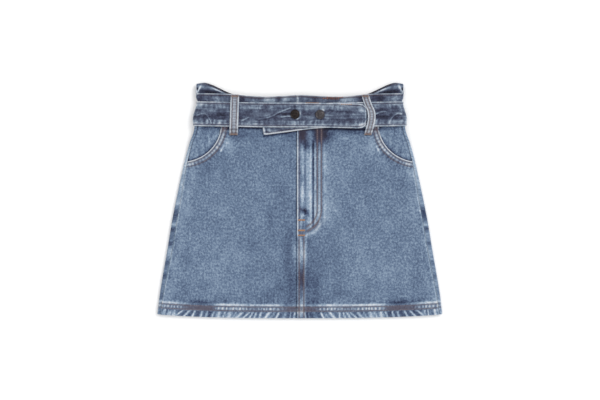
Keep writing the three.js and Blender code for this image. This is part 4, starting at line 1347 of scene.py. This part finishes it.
def make_belt():
    """The strip: rows run across its width, columns from tip to tip."""
    x, turn, length, layer, middle, half, lean = belt_stations()
    across = (edged(np.linspace(-BELT_HALF, BELT_HALF, 37)) / BELT_HALF)[:, None] * half
    y = middle + across * np.cos(lean)
    plan_x = x - across * np.sin(lean)
    from_rim = rim_distance(length + 0 * across, across)
    from_edge = half - np.abs(across)
    half_cloth = rounded_half(BAND_CLOTH, from_rim)
    on_face = turn > 1.5
    top_layer = on_face * (np.arange(x.size) < x.size / 2)[None, :]
    right_face = on_face * (plan_x > 105) * (1 - top_layer)
    puckers = np.cos(2 * np.pi * (length / 8.6 + 1.1 * uneven(length / 14, across / 14 + 40, 71)))
    puckers *= (0.75 + 0.6 * uneven(length / 11, across / 30 + 60, 79)) * np.where(across > 0, 0.6, 1)
    zone = ramp(from_edge, 3, 4.5) * (1 - ramp(from_edge, 9, 13))
    crease = np.zeros(across.shape)
    for points in BELT_CREASES:
        crease = np.maximum(crease, top_layer * bell(line_distance(plan_x, y, points), 0.95))
    for points in RIGHT_CREASES:
        crease = np.maximum(crease, right_face * bell(line_distance(plan_x, y, points), 0.95))
    # The creases moved two rows across, where painted shade goes beside each one.
    below = np.roll(crease, -2, axis=0)
    relief = 0.3 * bell(from_edge - 0.9, 1.1) - 0.3 * bell(from_edge - BELT_ROW, 0.7)
    relief += 0.14 * zone * puckers + 0.45 * crease + 0.12 * uneven(length / 17, across / 5, 72)
    relief = relief * ramp(from_rim, 0.1, 0.9) * np.where(on_face, 1, 0.5)
    wash_and_painted_light = 0.4 + 0.15 * uneven(length / 19, across / 2.1, 73) + 0.13 * uneven(length / 5, across / 6, 74)
    wash_and_painted_light += zone * (0.15 * puckers + 0.07) - 0.05 * bell(across, 6)
    thin = top_layer * ramp(plan_x, 44, 62) * (1 - ramp(plan_x, 92, 98))
    edge_wear = np.where(across < 0, 0.56 - 0.2 * thin, 0.5)
    wash_and_painted_light += edge_wear * bell(from_edge - 0.9, np.where(across < 0, 1.6, 1.4))
    wash_and_painted_light -= 0.16 * bell(from_edge - BELT_ROW, 0.8)
    # Creases are worn pale; beside them is painted shade.
    wash_and_painted_light += 0.34 * crease - 0.14 * below * (1 - crease)
    wash_and_painted_light += (top_layer + right_face) * patches(plan_x, y, BELT_WEAR_AND_PAINTED_LIGHT)
    wash_and_painted_light += 0.2 * bell(from_edge - 4.6, 1.0) * (0.8 + 0.5 * uneven(length / 3, 2.5, 78))
    inner_end = on_face * (1 - top_layer) * (plan_x < 0)
    from_inner_tip = length[0, -1] - length
    wash_and_painted_light += inner_end * (0.5 * bell(from_edge - 0.9, 1.7) - 0.25 * bell(from_edge - 4, 1.5))
    wash_and_painted_light += 0.45 * inner_end * bell(np.hypot((plan_x + 46) / 6, (y - 298.8) / 1.7), 1)
    wash_and_painted_light += 0.3 * bell(length - 0.8, 1.3) + 0.65 * bell(from_inner_tip - 1.0, 2.0)
    wash_and_painted_light += 0.3 * np.cos(turn) ** 2
    stain = 0.22 * bell(from_edge - BELT_ROW - 0.8, 1.4) + 0.06 * uneven(length / 23, across / 9, 75)
    out = BELT_OUT + layer * BELT_LAYER
    thread_lines = np.stack(np.broadcast_arrays(across + 2600, length + 0 * across), axis=-1)

    def at(distance):
        return round_waist(np.sign(plan_x), np.abs(plan_x) / WAIST_HALF, turn, y, distance)

    outer = at(out + half_cloth + relief)
    inner = at(out - half_cloth)
    piece = make_cloth("belt_cloth", outer, inner, thread_lines, wash_and_painted_light, np.clip(stain, 0, 1), band_denim, 0.42)
    return piece, outer, from_edge, length


belt_piece, belt_face, belt_from_edge, belt_length = make_belt()
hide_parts("belt")

belt_out = np.cross(np.gradient(belt_face, axis=1), np.gradient(belt_face, axis=0))
belt_out /= np.linalg.norm(belt_out, axis=-1, keepdims=True)
belt_out *= np.sign(belt_out[10, 40, 2])
# Two stretches of the belt's upper row are mended in orange thread: start, end, shift up.
BELT_BRIGHT = [(7.6, 31.6, 2.0), (62, 84.4, 0.5)]
belt_lines = []
belt_bright = []
for rows in (slice(0, 20), slice(20, 45)):
    part = belt_face[rows]
    nearest = np.argmin(np.abs(belt_from_edge[rows] - BELT_ROW), axis=0)
    columns = np.arange(part.shape[1])
    path = part[nearest, columns]
    up = belt_out[rows][nearest, columns]
    belt_lines.append(stitches(path[6:-6], up[6:-6]))
    if path[columns.size // 8, 1] > BELT_OVER["middle"][0]:
        for start, end, shift in BELT_BRIGHT:
            shown = (path[:, 0] > start) & (path[:, 0] < end) & (columns < columns.size / 3)
            belt_bright.append(stitches(path[shown] + [0, shift, 0.2], up[shown]))
belt_thread = make_thread("belt_thread", (94, 94, 110), (134, 130, 138))
belt_stitches = sew("belt_stitches", belt_lines, belt_thread, 76, radius=0.32)
belt_bright_stitches = sew("belt_orange_stitches", belt_bright, orange_thread, 77, radius=0.5)

# The belt loops: narrow folded strips, worn almost white, each with two rows of brown stitches and a
# bar tack at both ends. The right one of the front is pulled round the belt's tip.
LOOP_WIDTH = 14
LOOP_CLOTH = 1.6
LOOP_FOOT = 292
LOOP_RAMP = 4.5
LOOP_ROW = 3.4
FRONT_LOOPS = {
    "loop_front_left": {"y": [292, 357], "x": [-105.6, -103.4], "width": 13.6},
    "loop_front_right": {
        "y": [292, 304, 317, 330, 342, 357],
        "x": [108.2, 111.6, 114.4, 113.8, 108.6, 104.0],
        "width": 12.2,
    },
}
BACK_LOOPS = {"loop_back_left": -98, "loop_back_centre": 0, "loop_back_right": 98}
LOOP_TONES = [(46, 47, 60), (88, 92, 106), (136, 143, 157), (180, 189, 201), (224, 228, 232)]
loop_denim = make_denim("worn_denim", LOOP_TONES, (120, 102, 98), 0.8)


def front_loop_under(x, y):
    """Level of a front loop's underside: on the panel, over the belt, then on the waistband."""
    panel = front_top(x, np.minimum(y, LOOP_FOOT + 6)) + SEAM_GAP
    on_belt = BAND["axis"] + BELT_OUT + BAND_CLOTH / 2 + SEAM_GAP
    on_band = BAND["axis"] + BAND["outer"] + SEAM_GAP
    low = mix(panel, on_belt, ramp(y, 303 - LOOP_RAMP, 303))
    return mix(low, on_band, ramp(y, 346.4, 346.4 + LOOP_RAMP))


def back_loop_over(x, y):
    """Level of a back loop's inner face: under the panel, under the belt, then under the waistband."""
    panel = WAIST_BACK * ramp(LOOP_FOOT, *LIFT) - SEAM_GAP
    low = mix(panel, LOOP_CLOTH, ramp(y, 303 - LOOP_RAMP, 303))
    return mix(low, BAND["axis"] - BAND["outer"] - SEAM_GAP, ramp(y, 346.6, 346.6 + LOOP_RAMP))


def make_loop(name, path, level, outwards):
    """A loop's strip along its middle line: its outer face is raised at the edges and between the rows."""
    half = path["width"] / 2
    top = path["y"][-1] + 0.4
    y = edged(np.arange(LOOP_FOOT, top, 0.9))[:, None]
    across = edged(np.linspace(-half, half, 21))[None, :]
    x = curve(y, path["y"], path["x"]) + across
    y = y + 0 * x
    from_edge = half - np.abs(across) + 0 * y
    half_cloth = rounded_half(LOOP_CLOTH, rim_distance(across + 0 * y, y))
    seed = 80 + len(name)
    pleats = np.cos(2 * np.pi * (y / 4.6 + 0.5 * uneven(y / 7, across / 9, seed)))
    relief = -0.25 * bell(from_edge - LOOP_ROW, 0.6) + 0.1 * pleats * ramp(from_edge, 1, 3)
    relief = relief * ramp(half_cloth, 0.3, 0.8)
    base = level(x, y)
    middle = base + outwards * LOOP_CLOTH / 2
    outer = np.stack([x, y, middle + outwards * (half_cloth + relief)], axis=-1)
    inner = np.stack([x, y, middle - outwards * half_cloth], axis=-1)
    ends = bell(y - LOOP_FOOT - 1.5, 2.6) + bell(top - y - 2, 2.2)
    wash_and_painted_light = 0.55 + 0.1 * pleats * ramp(from_edge, 3, 5) + 0.08 * uneven(across / 3, y / 9, seed + 1)
    wash_and_painted_light += 0.3 * bell(from_edge - 0.7, 1.2) - 0.24 * bell(from_edge - LOOP_ROW, 0.8)
    wash_and_painted_light += 0.12 * bell(y - LOOP_FOOT - 6.4, 1.4) - 0.2 * bell(y - LOOP_FOOT - 9, 1.2)
    wash_and_painted_light -= 0.18 * ends + 0.12 * bell(y - LOOP_FOOT - 1.5, 3.4)
    stain = 0.36 * bell(from_edge - LOOP_ROW, 1.0) * (0.6 + 0.5 * uneven(y / 8, 1.5, seed + 2))
    stain = np.clip(stain + 0.5 * ends, 0, 1)
    thread_lines = np.stack([across + 3200 + 0 * y, y], axis=-1)
    piece = make_cloth(name, outer, inner, thread_lines, wash_and_painted_light, stain, loop_denim)
    rows = []
    for shift in (LOOP_ROW - half, half - LOOP_ROW):
        column = np.argmin(np.abs(across[0] - shift))
        rows.append(stitches(outer[3:-3, column], (0, 0, outwards)))
    tacks = []
    for height in (LOOP_FOOT + 2.2, top - 3.2):
        row = np.argmin(np.abs(y[:, 0] - height))
        centre = outer[row, across.size // 2] + [0, 0, 0.1 * outwards]
        tacks.append(bar_tack(centre, 2 * half - 3, 2.2, (0, 0, outwards)))
    return piece, rows, tacks


loop_rows = []
loop_tacks = []
for name, path in FRONT_LOOPS.items():
    loop, rows, tacks = make_loop(name + "_cloth", path, front_loop_under, 1)
    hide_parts(name)
    loop_rows += rows
    loop_tacks += tacks
for name, x in BACK_LOOPS.items():
    top = float(curve(abs(x), BAND_BACK["x"], BAND_BACK["top"]))
    path = {"y": [LOOP_FOOT, top], "x": [x, x], "width": LOOP_WIDTH}
    loop, rows, tacks = make_loop(name + "_cloth", path, back_loop_over, -1)
    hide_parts(name)
    loop_rows += [(start + [0, 0, 0.3], end + [0, 0, 0.3], up) for start, end, up in rows]
    loop_tacks += [(start + [0, 0, 0.4], end + [0, 0, 0.4], up) for start, end, up in tacks]
loop_stitches = sew("loop_stitches", loop_rows, brown_thread, 85, radius=0.34)
loop_bars = sew("loop_tacks", loop_tacks, brown_thread, 86, radius=0.36)

# The press studs: two domed metal caps that close the belt, one of dark bronze and one of dark grey,
# each with a rolled rim and a shallow ring, pressed into the top layer.
STUD_PROFILE = {
    "radius": [7.0, 7.5, 7.5, 7.3, 6.9, 6.4, 6.1, 5.8, 5.2, 3.8, 2.0, 0.05],
    "height": [0.0, 0.3, 0.8, 1.2, 1.5, 1.5, 1.25, 1.2, 1.45, 1.75, 1.92, 1.97],
}
STUDS = {
    "stud_left": {"x": -7.6, "y": 325.4, "metal": (32, 30, 30), "shine": (62, 54, 50), "slot": "bronze"},
    "stud_right": {"x": 32.2, "y": 325.0, "metal": (62, 60, 64), "shine": (96, 92, 94), "slot": "gunmetal"},
}


def make_metal(name, metal, shine):
    """Aged metal: two tones mixed by blotchy noise, rougher where it is darker."""
    material = bpy.data.materials.new(name)
    material.use_nodes = True
    tree = material.node_tree
    shader = tree.nodes["Principled BSDF"]
    shader.inputs["Metallic"].default_value = 0.85
    place = tree.nodes.new("ShaderNodeTexCoord")
    blotch = tree.nodes.new("ShaderNodeTexNoise")
    blotch.inputs["Scale"].default_value = 420
    blotch.inputs["Detail"].default_value = 3
    tone = tree.nodes.new("ShaderNodeValToRGB")
    tone.color_ramp.elements[0].position = 0.35
    tone.color_ramp.elements[0].color = colour(*metal)
    tone.color_ramp.elements[1].position = 0.8
    tone.color_ramp.elements[1].color = colour(*shine)
    rough = tree.nodes.new("ShaderNodeMapRange")
    rough.inputs["To Min"].default_value = 0.5
    rough.inputs["To Max"].default_value = 0.3
    tree.links.new(place.outputs["Object"], blotch.inputs["Vector"])
    tree.links.new(blotch.outputs["Fac"], tone.inputs["Fac"])
    tree.links.new(blotch.outputs["Fac"], rough.inputs["Value"])
    tree.links.new(tone.outputs["Color"], shader.inputs["Base Color"])
    tree.links.new(rough.outputs["Result"], shader.inputs["Roughness"])
    return material


def make_stud(name, x, y, material):
    """A cap turned from its profile: rings of points round the axis, closed below and at the top."""
    radius = np.concatenate([[0.05], STUD_PROFILE["radius"]])
    height = np.concatenate([[0], STUD_PROFILE["height"]])
    turn = np.linspace(0, 2 * np.pi, 64, endpoint=False)
    base = BAND["axis"] + BELT_OUT + BAND_CLOTH / 2 + BELT_LAYER + SEAM_GAP
    points = np.empty((radius.size, turn.size, 3))
    points[..., 0] = x + radius[:, None] * np.cos(turn)
    points[..., 1] = y + radius[:, None] * np.sin(turn)
    points[..., 2] = base + height[:, None]
    number = np.arange(points.size // 3).reshape(radius.size, turn.size)
    after = np.roll(number, -1, axis=1)
    quads = np.stack([number[:-1], after[:-1], after[1:], number[1:]], axis=-1).reshape(-1, 4)
    caps = []
    for ring in (number[0, ::-1], number[-1]):
        caps += [(ring[0], ring[k], ring[k + 1], ring[k + 2]) for k in range(1, turn.size - 2, 2)]
    return make_piece(name, points.reshape(-1, 3), np.concatenate([quads, caps]), material)


for name, stud in STUDS.items():
    metal = make_metal(stud["slot"] + "_metal", stud["metal"], stud["shine"])
    cap = make_stud(name + "_cap", stud["x"], stud["y"], metal)
    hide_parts(name)
